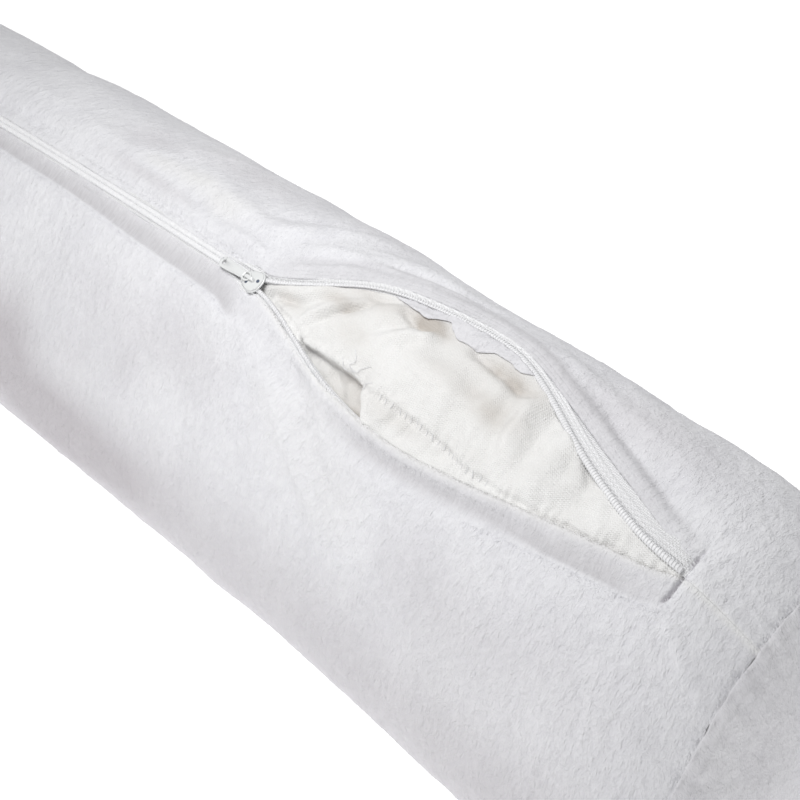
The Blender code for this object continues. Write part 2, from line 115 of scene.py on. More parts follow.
def lattice_noise(u: Array, v: Array, seed: int) -> Array:
    """Smooth value noise in -1..1 over the plane.

    Each whole-number lattice point has its own random height, from a hash of its place, and the heights
    are blended by smooth steps across the cell.

    Args:
        u: First coordinate, in cells.
        v: Second coordinate, in cells.
        seed: Picks the pattern.

    Returns:
        The noise at each point, shaped as u and v broadcast.
    """
    u, v = np.broadcast_arrays(u, v)
    cell_u, cell_v = np.floor(u).astype(np.int64), np.floor(v).astype(np.int64)
    part_u, part_v = smooth(u - cell_u), smooth(v - cell_v)

    def height(i: Array, j: Array) -> Array:
        mixed = (i * 73856093) ^ (j * 19349663) ^ (seed * 83492791)
        mixed = (mixed ^ (mixed >> 13)) * 1274126177
        return ((mixed & 0xFFFFFF) / float(0x7FFFFF)) - 1.0

    low = height(cell_u, cell_v) * (1 - part_u) + height(cell_u + 1, cell_v) * part_u
    high = height(cell_u, cell_v + 1) * (1 - part_u) + height(cell_u + 1, cell_v + 1) * part_u
    return low * (1 - part_v) + high * part_v


def graded(breaks: tuple[float, ...], steps: tuple[float, ...]) -> Array:
    """Stations from the first break to the last, each stretch cut into even steps near the size asked."""
    parts = [np.array([breaks[0]])]
    for low, high, step in zip(breaks[:-1], breaks[1:], steps):
        count = max(1, int(math.ceil((high - low) / step)))
        parts.append(np.linspace(low, high, count + 1)[1:])
    return np.concatenate(parts)


def in_metres(*rows: tuple[float, ...]) -> Array:
    """Rows of sizes in millimetres as an array in metres."""
    return MM * np.array(rows)


@dataclass(frozen=True)
class Hump:
    """A soft ridge across one direction, or a groove where its height is below 0."""

    place: float
    spread: float
    height: float

    def rise(self, at: Array) -> Array:
        """The height times a Gaussian about the place."""
        return self.height * bell(at - self.place, self.spread)


@dataclass(frozen=True)
class Lumps:
    """Uneven soft lumps of a height, a length along the pillow and a length round it."""

    height: float
    length_x: float
    length_s: float
    seed: int

    def rise(self, x: Array, s: Array) -> Array:
        """The height times the lattice noise."""
        return self.height * lattice_noise(x / self.length_x, s / self.length_s, self.seed)


@dataclass(frozen=True)
class Fold:
    """A soft ridge or trough along a straight line on the skin, in metres from the slider and zip line."""

    start_x: float
    start_s: float
    end_x: float
    end_s: float
    spread: float
    height: float

    def rise(self, along: Array, s: Array) -> Array:
        """Height of the fold: a Gaussian across its line, gone a quarter of its length past either end."""
        run_x, run_s = self.end_x - self.start_x, self.end_s - self.start_s
        length = math.hypot(run_x, run_s)
        forward = ((along - self.start_x) * run_x + (s - self.start_s) * run_s) / length**2
        across = ((along - self.start_x) * run_s - (s - self.start_s) * run_x) / length
        fade = smooth(np.minimum(forward + 0.25, 1.25 - forward) / 0.5)
        return self.height * fade * bell(across, self.spread)


def folds(*rows: tuple[float, ...]) -> tuple[Fold, ...]:
    """Folds from rows of their fields in millimetres."""
    return tuple(Fold(*(MM * value for value in row)) for row in rows)


@dataclass(frozen=True)
class PaintedShadingPatch:
    """A soft patch of painted shade, or of painted highlight below 0; on the plush some also stand for the
    pile lying another way.
    """

    along: float
    s: float
    spread_along: float
    spread_s: float
    amount: float

    def tone(self, along: Array, s: Array) -> Array:
        """The patch's amount times a Gaussian in both directions."""
        return self.amount * bell(along - self.along, self.spread_along) * bell(s - self.s, self.spread_s)


def patches(*rows: tuple[float, ...]) -> tuple[PaintedShadingPatch, ...]:
    """Patches from rows of place and spreads in millimetres, and amount."""
    return tuple(PaintedShadingPatch(*(MM * value for value in place), amount) for *place, amount in rows)


MAIN_FOLDS = folds(
    (-18, -17, 30, -60, 6, 2), (10, -26, 72, -58, 5.5, 1.6), (-110, -20, -20, -16, 5, -1.4),
    (-70, -34, -15, -24, 6, 1.6), (60, -60, 150, -58, 6, -1.2), (150, -46, 225, -18, 6.5, -1.8),
    (150, -64, 215, -38, 8, 1.4), (20, 18, 80, 62, 7, 1.8), (62, 46, 115, 96, 8, -1.4),
    (70, 34, 225, 22, 6, -1.4), (-60, 30, -30, 110, 14, 1.6), (-140, 30, -110, 115, 16, -1.4),
    (140, 50, 170, 120, 13, 1.4),
)


BACK_COIL = in_metres(
    (-4, 1.15), (0, 1.2), (6, 2), (12, 3.4), (25, 9.8), (39, 18.2), (48, 24), (56, 27.6), (65, 30.4),
    (80, 33.2), (97, 35.7), (110, 36.5), (120, 35.7), (129, 33.5), (140, 29.5), (157, 22), (169, 16.4),
    (182, 11.3), (194, 7.4), (207, 3.7), (217, 1.8), (226, 1.2), (235, 1.15),
)
BACK_TAPE_SHOWN = in_metres(
    (0, 0.6), (10, 1.2), (36, 2.3), (78, 2.3), (93, 2.4), (112, 2.3), (132, 2.4), (153, 3.8), (170, 5.8),
    (189, 6.8), (205, 7), (222, 5), (234, 3.6),
)


def smooth_table(at: Array, table: Array, reach: float = 4 * MM) -> Array:
    """A table of places and values read anywhere, averaged over three reads so that it bends smoothly."""
    return sum(np.interp(at + shift, *table.T) for shift in (-reach, 0.0, reach)) / 3.0


@dataclass
class PillowForm:
    """The filled pillow's shape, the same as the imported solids': a rounded triangle swept along X."""

    end_seam_x: float = 0.338
    half_length: float = 0.35
    base_edge_radius: float = 0.0335
    base_edge_offset: float = 0.053
    ridge_radius: float = 0.059
    ridge_height: float = 0.1397
    face_crown: float = 0.0039
    crown_overlap: float = 0.02
    zip_tilt_deg: float = 31.5
    bow: float = 0.011
    draw_length: float = 0.06
    draw_inset: float = 0.01
    draw_power: float = 3.0
    foot_share: float = 0.5
    seam_dip: float = 0.007
    seam_dip_spread: float = 0.045
    slider_to_end_seam: float = 0.262
    zip_end_margin: float = 0.0285
    front_reach_max: float = 0.0212
    front_reach_bend: float = 0.826
    front_reach_powers: tuple[float, float] = (2.43, 1.55)
    coil_offset: float = 0.00115
    coil_splay: float = 0.0012
    shift_y: float = 0.0
    levels: int = 21
    steps: int = 4096
    table: Array = field(init=False, repr=False)
    girths: Array = field(init=False, repr=False)

    def __post_init__(self) -> None:
        """Works out the section for evenly spaced amounts of drawing in."""
        rows = [self._section(self.draw_inset * i / (self.levels - 1)) for i in range(self.levels)]
        self.table = np.stack([row[0] for row in rows])
        self.girths = np.array([row[1] for row in rows])

    @property
    def slider_x(self) -> float:
        """X of the slider."""
        return self.end_seam_x - self.slider_to_end_seam

    @property
    def zip_end_x(self) -> float:
        """X of the near end of the zip; the far end is its mirror."""
        return self.end_seam_x - self.zip_end_margin

    def _section(self, inset: float) -> tuple[Array, float]:
        """One section: the hull of three circles, each smaller by the inset, with crowned sloping faces.

        For every outward angle the circle that reaches furthest gives the point. The points are then
        spaced evenly by arc length from the zip line, down the front, and the two faces swell by a
        squared sine.

        Args:
            inset: How much smaller each circle is than in the middle of the pillow.

        Returns:
            An array of y, z and outward angle at even shares of the way round, and the girth.
        """
        centres = np.array([
            (-self.base_edge_offset, self.base_edge_radius),
            (self.base_edge_offset, self.base_edge_radius),
            (0.0, self.ridge_height - self.ridge_radius),
        ]) - (0.0, self.foot_share * inset)
        radii = np.array([self.base_edge_radius, self.base_edge_radius, self.ridge_radius]) - inset
        angle = math.pi / 2 + math.radians(self.zip_tilt_deg) + np.linspace(0.0, TAU, 2881)
        normal = np.stack([np.cos(angle), np.sin(angle)], axis=1)
        active = (normal @ centres.T + radii).argmax(axis=1)
        points = centres[active] + radii[active, None] * normal
        arc = np.concatenate([[0.0], np.cumsum(np.linalg.norm(np.diff(points, axis=0), axis=1))])
        s = np.linspace(0.0, arc[-1], self.steps + 1)
        y, z, turn = (np.interp(s, arc, values) for values in (points[:, 0], points[:, 1], angle))
        for i in np.nonzero(np.diff(active))[0]:
            if normal[i, 1] > -0.99:
                run = arc[i + 1] - arc[i] + 2 * self.crown_overlap
                share = np.clip((s - arc[i] + self.crown_overlap) / run, 0, 1)
                swell = self.face_crown * np.sin(np.pi * share) ** 2
                y, z = y + swell * np.cos(turn), z + swell * np.sin(turn)
        return np.stack([y, z, turn], axis=1), float(arc[-1])

    def drawn_in(self, x: Array) -> Array:
        """0 along the middle, rising as a cube to 1 at the end seams."""
        reach = (np.abs(x) - (self.end_seam_x - self.draw_length)) / self.draw_length
        return np.clip(reach, 0.0, 1.0) ** self.draw_power

    def girth(self, x: Array) -> Array:
        """Length round the section at x."""
        return np.interp(self.drawn_in(x), np.linspace(0.0, 1.0, self.levels), self.girths)

    def skin(self, x: Array, s: Array, rise: Array | float = 0.0) -> Array:
        """World points on the skin at x and s, raised along the section's outward normal.

        The section is read from the table by the amount drawn in and the share of the girth, blended
        between its four nearest entries.

        Args:
            x: Place along the pillow.
            s: Signed arc from the zip line.
            rise: Height over the skin.

        Returns:
            Points, one more axis than x and s broadcast.
        """
        x, s, rise = np.broadcast_arrays(x, s, rise)
        share = (s / self.girth(x)) % 1.0 * self.steps
        level = self.drawn_in(x) * (self.levels - 1)
        i = np.minimum(level.astype(int), self.levels - 2)
        j = np.minimum(share.astype(int), self.steps - 1)
        a, b = (level - i)[..., None], (share - j)[..., None]
        near = self.table[i, j] * (1 - b) + self.table[i, j + 1] * b
        far = self.table[i + 1, j] * (1 - b) + self.table[i + 1, j + 1] * b
        y, z, turn = np.moveaxis(near * (1 - a) + far * a, -1, 0)
        bow = self.bow * (1.0 - (x / self.end_seam_x) ** 2) + self.shift_y
        return np.stack([x, y + rise * np.cos(turn) + bow, z + rise * np.sin(turn)], axis=-1)

    def outwards(self, x: Array, s: Array) -> Array:
        """Unit directions out of the skin."""
        return unit(self.skin(x, s, MM) - self.skin(x, s))

    def opened(self, x: Array) -> Array:
        """0 up to the slider, rising evenly to 1 at the near end of the zip."""
        return np.clip((x - self.slider_x) / (self.zip_end_x - self.slider_x), 0.0, 1.0)

    def coil_line(self, x: Array, side: Side) -> Array:
        """Arc from the zip line to the middle of a coil.

        The back coil's is read from the table measured on the photo. The front coil's is a sine of a
        power of the opened share, raised to a power that falls along the opening, plus its offsets.
        """
        if side is Side.BACK:
            return smooth_table(x - self.slider_x, BACK_COIL)
        share = self.opened(x)
        start, fall = self.front_reach_powers
        reach = self.front_reach_max * np.sin(np.pi * share**self.front_reach_bend) ** (start - fall * share)
        splay = self.coil_splay * smooth((x - self.slider_x + 0.003) / 0.006)
        splay = splay * (1.0 - smooth((x - self.zip_end_x + 0.01) / 0.008))
        return reach + self.coil_offset + splay

    def relief(self, x: Array, s: Array) -> Array:
        """Main folds of the plush and the dip of the end seams at the ridge."""
        along = x - self.slider_x
        dip = -self.seam_dip * self.drawn_in(x) * bell(s, self.seam_dip_spread)
        return dip + sum(fold.rise(along, s) for fold in MAIN_FOLDS)


def grid_faces(rows: int, columns: int, round_rows: bool = False, round_columns: bool = False) -> Array:
    """Quads of a grid of points stored row by row, closed onto itself in either direction where asked."""
    i = np.arange(rows if round_rows else rows - 1)[:, None]
    j = np.arange(columns if round_columns else columns - 1)[None, :]
    i2, j2 = (i + 1) % rows, (j + 1) % columns
    corners = [i * columns + j, i2 * columns + j, i2 * columns + j2, i * columns + j2]
    return np.stack([np.broadcast_to(c, (i.shape[0], j.shape[1])) for c in corners], axis=-1).reshape(-1, 4)


def fan_faces(ring: Array, centre: int, flip: bool) -> Array:
    """Triangles from a ring of point numbers to one centre point."""
    ahead = np.roll(ring, -1)
    centres = np.full_like(ring, centre)
    return np.stack([ring, centres, ahead] if flip else [ring, ahead, centres], axis=1)


def closed_faces(rows: int, columns: int) -> list[Array]:
    """Faces of rings of points, closed by a fan to each of the two middle points stored after them."""
    ring, middle = np.arange(columns), rows * columns
    return [
        grid_faces(rows, columns, round_columns=True),
        fan_faces(ring, middle, flip=False),
        fan_faces(ring + middle - columns, middle + 1, flip=True),
    ]


def out_and_back(top: Array, below: Array) -> Array:
    """Rows that go out along a strip's top and come back along its underside."""
    return np.concatenate([top, below[:, ::-1]], axis=1)


def strip_faces(rows: int, columns: int) -> list[Array]:
    """Faces of a closed strip whose rows go out along its top and back along its underside."""
    top = np.arange(columns // 2)
    below = columns - 1 - top
    cap = np.stack([top[:-1], below[:-1], below[1:], top[1:]], axis=1)
    return [grid_faces(rows, columns, round_columns=True), cap, (cap + (rows - 1) * columns)[:, ::-1]]


@dataclass
class Surface:
    """A mesh under construction: points, faces, and named values and flat coordinates for its points."""

    points: Array
    faces: list[Array]
    flat: Array | None = None
    values: dict[str, Array] = field(default_factory=dict)

    def piece(self, name: str, material: Material) -> Piece:
        """Makes the object, turned outwards, at the origin and shaded smooth.

        Args:
            name: The object's name.
            material: Its finish.

        Returns:
            The object, in the scene's collection.
        """
        loops = np.concatenate([part.reshape(-1) for part in self.faces]).astype(np.int32)
        sizes = np.concatenate([np.full(len(part), part.shape[1]) for part in self.faces])
        starts = np.concatenate([[0], np.cumsum(sizes)[:-1]]).astype(np.int32)
        mesh = bpy.data.meshes.new(name)
        mesh.vertices.add(len(self.points))
        mesh.vertices.foreach_set("co", self.points.astype(np.float32).reshape(-1))
        mesh.loops.add(len(loops))
        mesh.loops.foreach_set("vertex_index", loops)
        mesh.polygons.add(len(starts))
        mesh.polygons.foreach_set("loop_start", starts)
        mesh.update(calc_edges=True)
        mesh.validate()
        if self.flat is not None:
            chart = mesh.uv_layers.new(name="flat")
            order = np.empty(len(mesh.loops), np.int32)
            mesh.loops.foreach_get("vertex_index", order)
            chart.uv.foreach_set("vector", self.flat[order].astype(np.float32).reshape(-1))
        for label, amounts in self.values.items():
            layer = mesh.attributes.new(label, "FLOAT", "POINT")
            layer.data.foreach_set("value", amounts.astype(np.float32).reshape(-1))
        if signed_volume(mesh) < 0.0:
            mesh.flip_normals()
        mesh.shade_smooth()
        mesh.materials.append(material)
        return link(bpy.data.objects.new(name, mesh))


def link(item: Piece) -> Piece:
    """Puts an object in the scene."""
    bpy.context.scene.collection.objects.link(item)
    return item


def signed_volume(mesh: bpy.types.Mesh) -> float:
    """Volume that a closed mesh holds, negative where its faces point inwards."""
    mesh.calc_loop_triangles()
    points = np.empty(len(mesh.vertices) * 3, np.float32)
    mesh.vertices.foreach_get("co", points)
    triangles = np.empty(len(mesh.loop_triangles) * 3, np.int32)
    mesh.loop_triangles.foreach_get("vertices", triangles)
    corner = points.reshape(-1, 3).astype(float)[triangles.reshape(-1, 3)]
    return float(np.einsum("ij,ij->i", corner[:, 0], np.cross(corner[:, 1], corner[:, 2])).sum() / 6.0)


def tube(path: Array, radius: Array | float, sides: int, across: Array, out: Array,
         flatten: float = 1.0) -> Surface:
    """A round or oval profile carried along a path, closed by a fan at each end.

    Each point of the profile is the path's point plus radius times cosine along one side direction and
    sine, times flatten, along the other.

    Args:
        path: Points along the middle.
        radius: The profile's radius, one for all or one for each point.
        sides: Number of profile points.
        across: Unit side direction at each point.
        out: Unit second side direction at each point.
        flatten: Height of the profile over its width.

    Returns:
        The surface, without flat coordinates.
    """
    turn = np.linspace(0.0, TAU, sides, endpoint=False)[:, None]
    size = np.broadcast_to(np.asarray(radius, float), (len(path),))[:, None, None]
    ring = across[:, None] * np.cos(turn) + out[:, None] * (flatten * np.sin(turn))
    points = np.concatenate([(path[:, None] + size * ring).reshape(-1, 3), path[[0]], path[[-1]]])
    return Surface(points, closed_faces(len(path), sides))


def joined(parts: list[Surface]) -> Surface:
    """Several surfaces as one, with their points numbered on."""
    faces: list[Array] = []
    start = 0
    for part in parts:
        faces += [block + start for block in part.faces]
        start += len(part.points)
    return Surface(np.concatenate([part.points for part in parts]), faces)


def plain_plush(count: int) -> dict[str, Array]:
    """The plush's values where it is neither flattened nor sewn: an even painted shade, far from any edge."""
    zeros = np.zeros(count)
    return {"flattened": zeros, "seam": zeros, "nap_and_painted_shading": zeros + PLAIN_PAINTED_SHADE, "from_edge": zeros + FAR_FROM_EDGE}


@dataclass
class CoverLayout:
    """Where the cover's edges, bands and creases run, measured on the photo's skin."""

    form: PillowForm
    edge_closed: float = 0.0007
    edge_open: float = 0.0012
    front_overhang: float = 0.0024
    overhang_start: float = 0.045
    overhang_run: float = 0.04
    closed_tape_near: float = 0.0002
    closed_tape_far: float = 0.0004
    slider_room: float = 0.0032
    slider_spread: float = 0.0066
    sewn_gap: float = 0.00002
    band_far: float = 0.01
    band_width_max: float = 0.013
    band_wander: Lumps = Lumps(0.0004, 0.045, 1.0, 5)
    fold_near: float = 0.0155
    fold_far: float = 0.0113
    fold_wander: Lumps = Lumps(0.0006, 0.021, 1.0, 6)
    crease_front: float = 0.0118
    crease_back: float = 0.0092

    def zip_share(self, x: Array) -> Array:
        """1 along the zip, 0 past its ends, where the two edges are sewn together."""
        return np.clip((self.form.zip_end_x - np.abs(x)) / 0.0012, 0.0, 1.0)

    def clearance(self, x: Array) -> Array:
        """Distance from a coil's middle to the nearer plush edge, with room for the slider."""
        along = x - self.form.slider_x
        past = smooth(along / 0.012)
        room = self.slider_room * bell(along + 0.0005, self.slider_spread)
        return blend(self.edge_closed, self.edge_open, past) + room

    def tape_shown(self, x: Array) -> Array:
        """Width of the back tape that shows between its coil and the plush."""
        along = x - self.form.slider_x
        closed = blend(self.closed_tape_near, self.closed_tape_far, smooth(-along / 0.15))
        opened = smooth_table(along, BACK_TAPE_SHOWN)
        return blend(closed, opened, ramp(along, -0.004, 0.02))

    def hides(self, x: Array) -> Array:
        """How far the front edge has folded over its coil: 0 by the slider, 1 on to the zip's end."""
        return ramp(x - self.form.slider_x, self.overhang_start, self.overhang_run)

    def front_edge(self, x: Array) -> Array:
        """Arc from the zip line to the front edge of the plush."""
        edge = self.form.coil_line(x, Side.FRONT) + self.clearance(x) - self.front_overhang * self.hides(x)
        return np.maximum(edge, self.sewn_gap) * self.zip_share(x) + self.sewn_gap

    def back_edge(self, x: Array) -> Array:
        """Arc from the zip line to the back edge of the plush."""
        edge = self.form.coil_line(x, Side.BACK) + self.clearance(x) + self.tape_shown(x)
        return edge * self.zip_share(x) + self.sewn_gap

    def edge(self, x: Array, side: Side) -> Array:
        """Arc from the zip line to the plush's edge on a side."""
        return self.front_edge(x) if side is Side.FRONT else self.back_edge(x)

    def band_width(self, x: Array) -> Array:
        """Width of the flattened band between the plush's edge and its row of stitches."""
        nearness = ramp(x - self.form.slider_x, -0.14, 0.13)
        return blend(self.band_far, self.band_width_max, nearness) + self.band_wander.rise(x, 0.0 * x)

    def back_fold(self, x: Array) -> Array:
        """Distance from the back edge to the soft valley that runs along it."""
        late = ramp(self.form.opened(x), 0.35, 0.3)
        return blend(self.fold_near, self.fold_far, late) + self.fold_wander.rise(x, 0.0 * x)


FINE_FOLDS = folds(
    (12, -12, 40, -30, 1.8, 0.8), (30, -32, 82, -50, 2.4, 1.1), (48, -42, 100, -62, 2.8, -0.9),
    (0, -24, 40, -44, 3, -1.2), (-22, -30, 18, -56, 3.5, -1), (-30, -14, -4, -12, 3, 1.6),
    (-150, -22, -60, -18, 5, 1.2), (-95, -40, -50, -70, 7, 1.2), (12, 16, 50, 30, 2, -0.7),
    (24, 18, 84, 62, 3.2, 1.4), (44, 18.5, 98, 59, 4.2, -1.5), (46, 34, 96, 74, 3.6, 1.2),
    (64, 52, 104, 100, 4, -0.8), (84, 44, 140, 66, 4, 0.8), (236, 14, 262, 30, 3, 1.2),
    (238, -16, 262, -40, 3.5, 1), (214, 40, 246, 36, 4, -1), (168, -34, 228, -13, 3, -1.2),
    (120, -52, 200, -36, 4, 1), (-10, 50, 20, 110, 7, -1.2), (20, 70, 40, 130, 7, 1),
    (-100, 30, -80, 90, 9, 1.2), (-190, 40, -170, 100, 10, 1.2), (-230, -20, -215, -90, 12, -1.2),
    (100, -85, 120, -140, 10, -1), (-40, -80, -20, -150, 12, 1.2),
)


# Patches of painted shade where less light falls (low on the left, towards the near end, in the groove above
# the chain) and painted highlight below 0; some also follow the pile's direction.
PLUSH_PAINTED_SHADING = patches(
    (-130, 84, 24, 24, 0.95), (-84, 109, 30, 16, 0.95), (-34, 106, 30, 13, 0.6), (-70, 46, 34, 20, 0.22),
    (-13, 41, 32, 16, 0.38), (-42, 62, 10, 12, 0.25), (-76, 70, 14, 10, 0.25), (140, 56, 28, 18, 0.28),
    (172, 66, 30, 16, 0.22), (208, 56, 36, 22, 0.2), (94, 55, 24, 14, -0.25), (62, 36, 30, 14, -0.25),
    (175, -40, 40, 14, 0.45), (-87, -14, 34, 4, 0.45), (-92, -25, 14, 6, -0.5), (-66, -27, 12, 6, -0.6),
    (-43, -22, 12, 7, -0.6), (-58, -50, 30, 12, 0.35), (-110, -34, 20, 10, 0.35), (20, -60, 20, 12, 0.25),
)


@dataclass
class Cover:
    """The plush panel wrapped round the pillow, its edges rolled in along the zip and sewn past its ends."""

    form: PillowForm
    layout: CoverLayout
    thickness: float = 0.002
    edge_thickness: float = 0.0024
    sewn_radius: float = 0.00016
    closed_radius: float = 0.00048
    crisp_reach: float = 0.016
    crisp_step: float = 0.00055
    fine_reach: float = 0.034
    fine_step: float = 0.001
    middle_count: int = 104
    inside_count: int = 40
    roll_count: int = 6
    front_lift: float = 0.001
    back_lift: float = 0.0015
    lift_fade: float = 0.017
    ledge_height: float = 0.0007
    band_depth: float = 0.0009
    front_swell: Hump = Hump(0.003, 0.0026, 0.0008)
    back_swell: Hump = Hump(0.005, 0.004, 0.0012)
    back_valley: Hump = Hump(0.0, 0.0046, -0.00042)
    back_ridge: Hump = Hump(0.0075, 0.005, 0.0007)
    # Painted shade low down and in the cross seam's fold, and painted highlight on the front lip's rim.
    low_painted_shade: float = 0.62
    crease_painted_shade: float = 1.15
    lip_painted_highlight: float = -0.5
    groove_depth: float = 0.001
    groove_arc: float = 0.0042
    groove_drifts: tuple[float, float] = (0.0024, 0.002)
    groove_step: float = 0.07
    groove_length: float = 0.25
    groove_spread: float = 0.0022
    groove_bank: Hump = Hump(0.007, 0.0045, 0.7)
    gather_depth: float = 0.0006
    gather_pitch: float = 0.0105
    gather_fade: float = 0.011
    crease_depth: float = 0.0026
    crease_spreads: tuple[float, float] = (0.0008, 0.0005)
    crease_puff: Hump = Hump(0.004, 0.005, 0.0008)
    lumps: tuple[Lumps, ...] = (
        Lumps(0.0008, 0.05, 0.036, 1), Lumps(0.0005, 0.021, 0.017, 2),
        Lumps(0.0002, 0.005, 0.0078, 3), Lumps(0.0001, 0.0024, 0.004, 4),
    )

    def stations(self) -> Array:
        """X of the rows: fine along the opening and finest at the crease that ends it."""
        form, crease = self.form, self.form.zip_end_x
        breaks = (
            -form.end_seam_x, -form.end_seam_x + 0.012, -0.15, form.slider_x - 0.02,
            crease - 0.006, crease - 0.0016, crease + 0.0014, crease + 0.006,
            form.end_seam_x - 0.01, form.end_seam_x,
        )
        return graded(breaks, (0.0015, 0.0036, 0.0022, 0.0017, 0.0006, 0.0002, 0.0006, 0.0014, 0.001))

    def columns(self, x: Array) -> tuple[Array, Array, Array]:
        """The closed profile at each row: out along the skin from front edge to back edge, and back inside.

        Args:
            x: Rows, as a column.

        Returns:
            Arc s without wrapping, depth under the skin, and 1 on the outer face or 0 inside.
        """
        around = self.form.girth(x)
        radius, radius_back = self.roll_radius(x, Side.FRONT), self.roll_radius(x, Side.BACK)
        front, back = self.layout.front_edge(x) + radius, self.layout.back_edge(x) + radius_back
        total = around - front - back
        fine = graded((0.0, self.crisp_reach, self.fine_reach), (self.crisp_step, self.fine_step))[None, :]
        share = np.linspace(0.0, 1.0, self.middle_count + 2)[None, 1:-1]
        share = share - 0.62 * np.sin(TAU * share) / TAU
        middle = self.fine_reach + (total - 2 * self.fine_reach) * share
        outer = front + np.concatenate([fine + 0 * total, middle, total - fine[:, ::-1]], axis=1)
        turn = np.linspace(0.0, math.pi, self.roll_count + 2)[None, 1:-1]
        back_roll = around - back + radius_back * np.sin(turn)
        front_roll = front - radius * np.sin(turn)
        depth_back, depth_front = radius_back * (1 - np.cos(turn)), radius * (1 - np.cos(turn))
        inner_share = np.linspace(1.0, 0.0, self.inside_count)[None, :]
        inner = front + total * inner_share
        from_edge = np.minimum(inner - front, around - back - inner)
        nearer = np.where(inner_share < 0.5, radius, radius_back)
        inner_depth = self.thickness + (2 * nearer - self.thickness) * bell(from_edge, 0.006)
        s = np.concatenate([outer, back_roll, inner, front_roll], axis=1)
        depth = np.concatenate([np.zeros_like(outer), depth_back, inner_depth, depth_front[:, ::-1]], axis=1)
        outside = np.ones_like(s)
        outside[:, outer.shape[1] + self.roll_count:-self.roll_count] = 0.0
        return s, depth, outside

    def roll_radius(self, x: Array, side: Side) -> Array:
        """Radius of a rolled edge: fullest along the opening's front, tight where it is sewn shut."""
        opened = self.edge_thickness / 2 if side is Side.FRONT else self.closed_radius
        radius = blend(self.closed_radius, opened, ramp(x, self.form.slider_x, 0.02))
        return blend(self.sewn_radius, radius, self.layout.zip_share(x))

    def lift(self, x: Array, s: Array) -> Array:
        """How far the free edges stand off the inner pillow, fading as a Gaussian from each edge."""
        swell = np.sin(np.pi * self.form.opened(x)) ** 1.5
        past_front = np.maximum(s - self.layout.front_edge(x), 0.0)
        past_back = np.maximum(-s - self.layout.back_edge(x), 0.0)
        front = self.front_lift * swell * bell(past_front, self.lift_fade)
        back = self.back_lift * swell * bell(past_back, self.lift_fade)
        return np.where(s > 0.0, front, back)

    def bands(self, x: Array, s: Array) -> tuple[Array, Array]:
        """The flattened bands beside the zip, the ledge of pile past their stitches and the back's folds.

        Args:
            x: Rows.
            s: Signed arcs.

        Returns:
            The height that the bands add, and a 0..1 mask of the flattened cloth.
        """
        layout, form = self.layout, self.form
        from_end = form.zip_end_x - np.abs(x)
        along_zip = ramp(from_end, -0.0008, 0.0016) * blend(0.35, 1.0, smooth(from_end / 0.03))
        opened = smooth(form.opened(x) / 0.08)
        along = x - form.slider_x

        front, width = s - layout.front_edge(x), layout.band_width(x)
        on_front = (s > 0.0) * along_zip
        blur = 0.0016 + 0.004 * smooth(along / 0.01) * ramp(form.zip_end_x - x, 0.04, 0.04)
        inside = smooth((width - front) / blur)
        past = np.maximum(front - width, 0.0)
        ledge = self.ledge_height * smooth(past / 0.003) * np.exp(-past / 0.016)
        height = on_front * (opened * self.front_swell.rise(front) - self.band_depth * inside)
        height = height + (s > 0.0) * ramp(from_end, -0.01, 0.022) * ledge

        back, fold = -s - layout.back_edge(x), layout.back_fold(x)
        on_back = (s <= 0.0) * along_zip
        beside = opened * (self.back_swell.rise(back) + self.back_valley.rise(back - fold))
        height = height + on_back * (beside + self.back_ridge.rise(back - fold))

        shown = 1.0 - 0.75 * ramp(along, -0.006, 0.012) + 0.7 * ramp(along, 0.055, 0.06)
        worn = blend(0.45, 1.0, smooth(front / (0.75 * width))) * shown
        mask = on_front * inside * worn + on_back * 0.5 * smooth((fold - back) / 0.004) * opened
        return height, mask

    def chain_groove(self, x: Array, s: Array) -> Array:
        """The groove in the back plush just above the closed chain, drifting away from it down the zip."""
        behind = self.form.slider_x - x
        first, second = self.groove_drifts
        line = self.groove_arc + first * smooth(behind / self.groove_step)
        line = line + second * ramp(behind, self.groove_step, self.groove_step)
        depth = self.groove_depth * smooth(behind / 0.006) * smooth((self.groove_length - behind) / 0.06)
        return depth * (self.groove_bank.rise(-s - line) - bell(-s - line, self.groove_spread))

    def crease_line(self, x: Array, s: Array) -> tuple[Array, Array]:
        """How far past the cross seam at the zip's end a place lies, and how much of it reaches its arc."""
        layout = self.layout
        past = np.abs(x) - self.form.zip_end_x + 0.0002 + 0.0012 * ramp(s, 0.008, 0.004)
        front_end = smooth((layout.crease_front - s) / 0.0018)
        from_back = layout.crease_back + s
        back_end = 0.8 * smooth(from_back / 0.0022) + 0.2 * ramp(from_back, -0.005, 0.003)
        return past, front_end * back_end

    def crease(self, x: Array, s: Array) -> Array:
        """The cross seam at each end of the zip: a narrow groove with the plush puffed up past it."""
        past, there = self.crease_line(x, s)
        before, beyond = self.crease_spreads
        groove = self.crease_depth * bell(np.minimum(past, 0.0), before) * bell(np.maximum(past, 0.0), beyond)
        return there * (self.crease_puff.rise(past) * smooth(past / 0.003) - groove)

    def gathers(self, x: Array, s: Array) -> Array:
        """Small uneven gathers that run in from the end seams and die out within 30 mm."""
        from_seam = self.form.end_seam_x - np.abs(x)
        fade = np.exp(-from_seam / self.gather_fade)
        beat = s / self.gather_pitch + 0.9 * lattice_noise(s / 0.019, x / 0.05, 21)
        depth = self.gather_depth * (0.6 + 0.6 * lattice_noise(s / 0.024, x * 0.0, 22))
        return fade * depth * np.sin(TAU * beat)

    def unevenness(self, x: Array, s: Array) -> Array:
        """Soft lumps of the filling and tufts of the pile, longer down the slope than along it."""
        return sum(lumps.rise(x, s) for lumps in self.lumps) * (1.0 - ramp(np.abs(s), 0.15, 0.02))

    def rise(self, x: Array, s: Array) -> Array:
        """Height of the cover's outer face over the plain form."""
        along = x - self.form.slider_x
        fine = sum(fold.rise(along, s) for fold in FINE_FOLDS)
        total = self.form.relief(x, s) + self.lift(x, s) + fine + self.crease(x, s) + self.gathers(x, s)
        return total + self.unevenness(x, s) + self.bands(x, s)[0] + self.chain_groove(x, s)

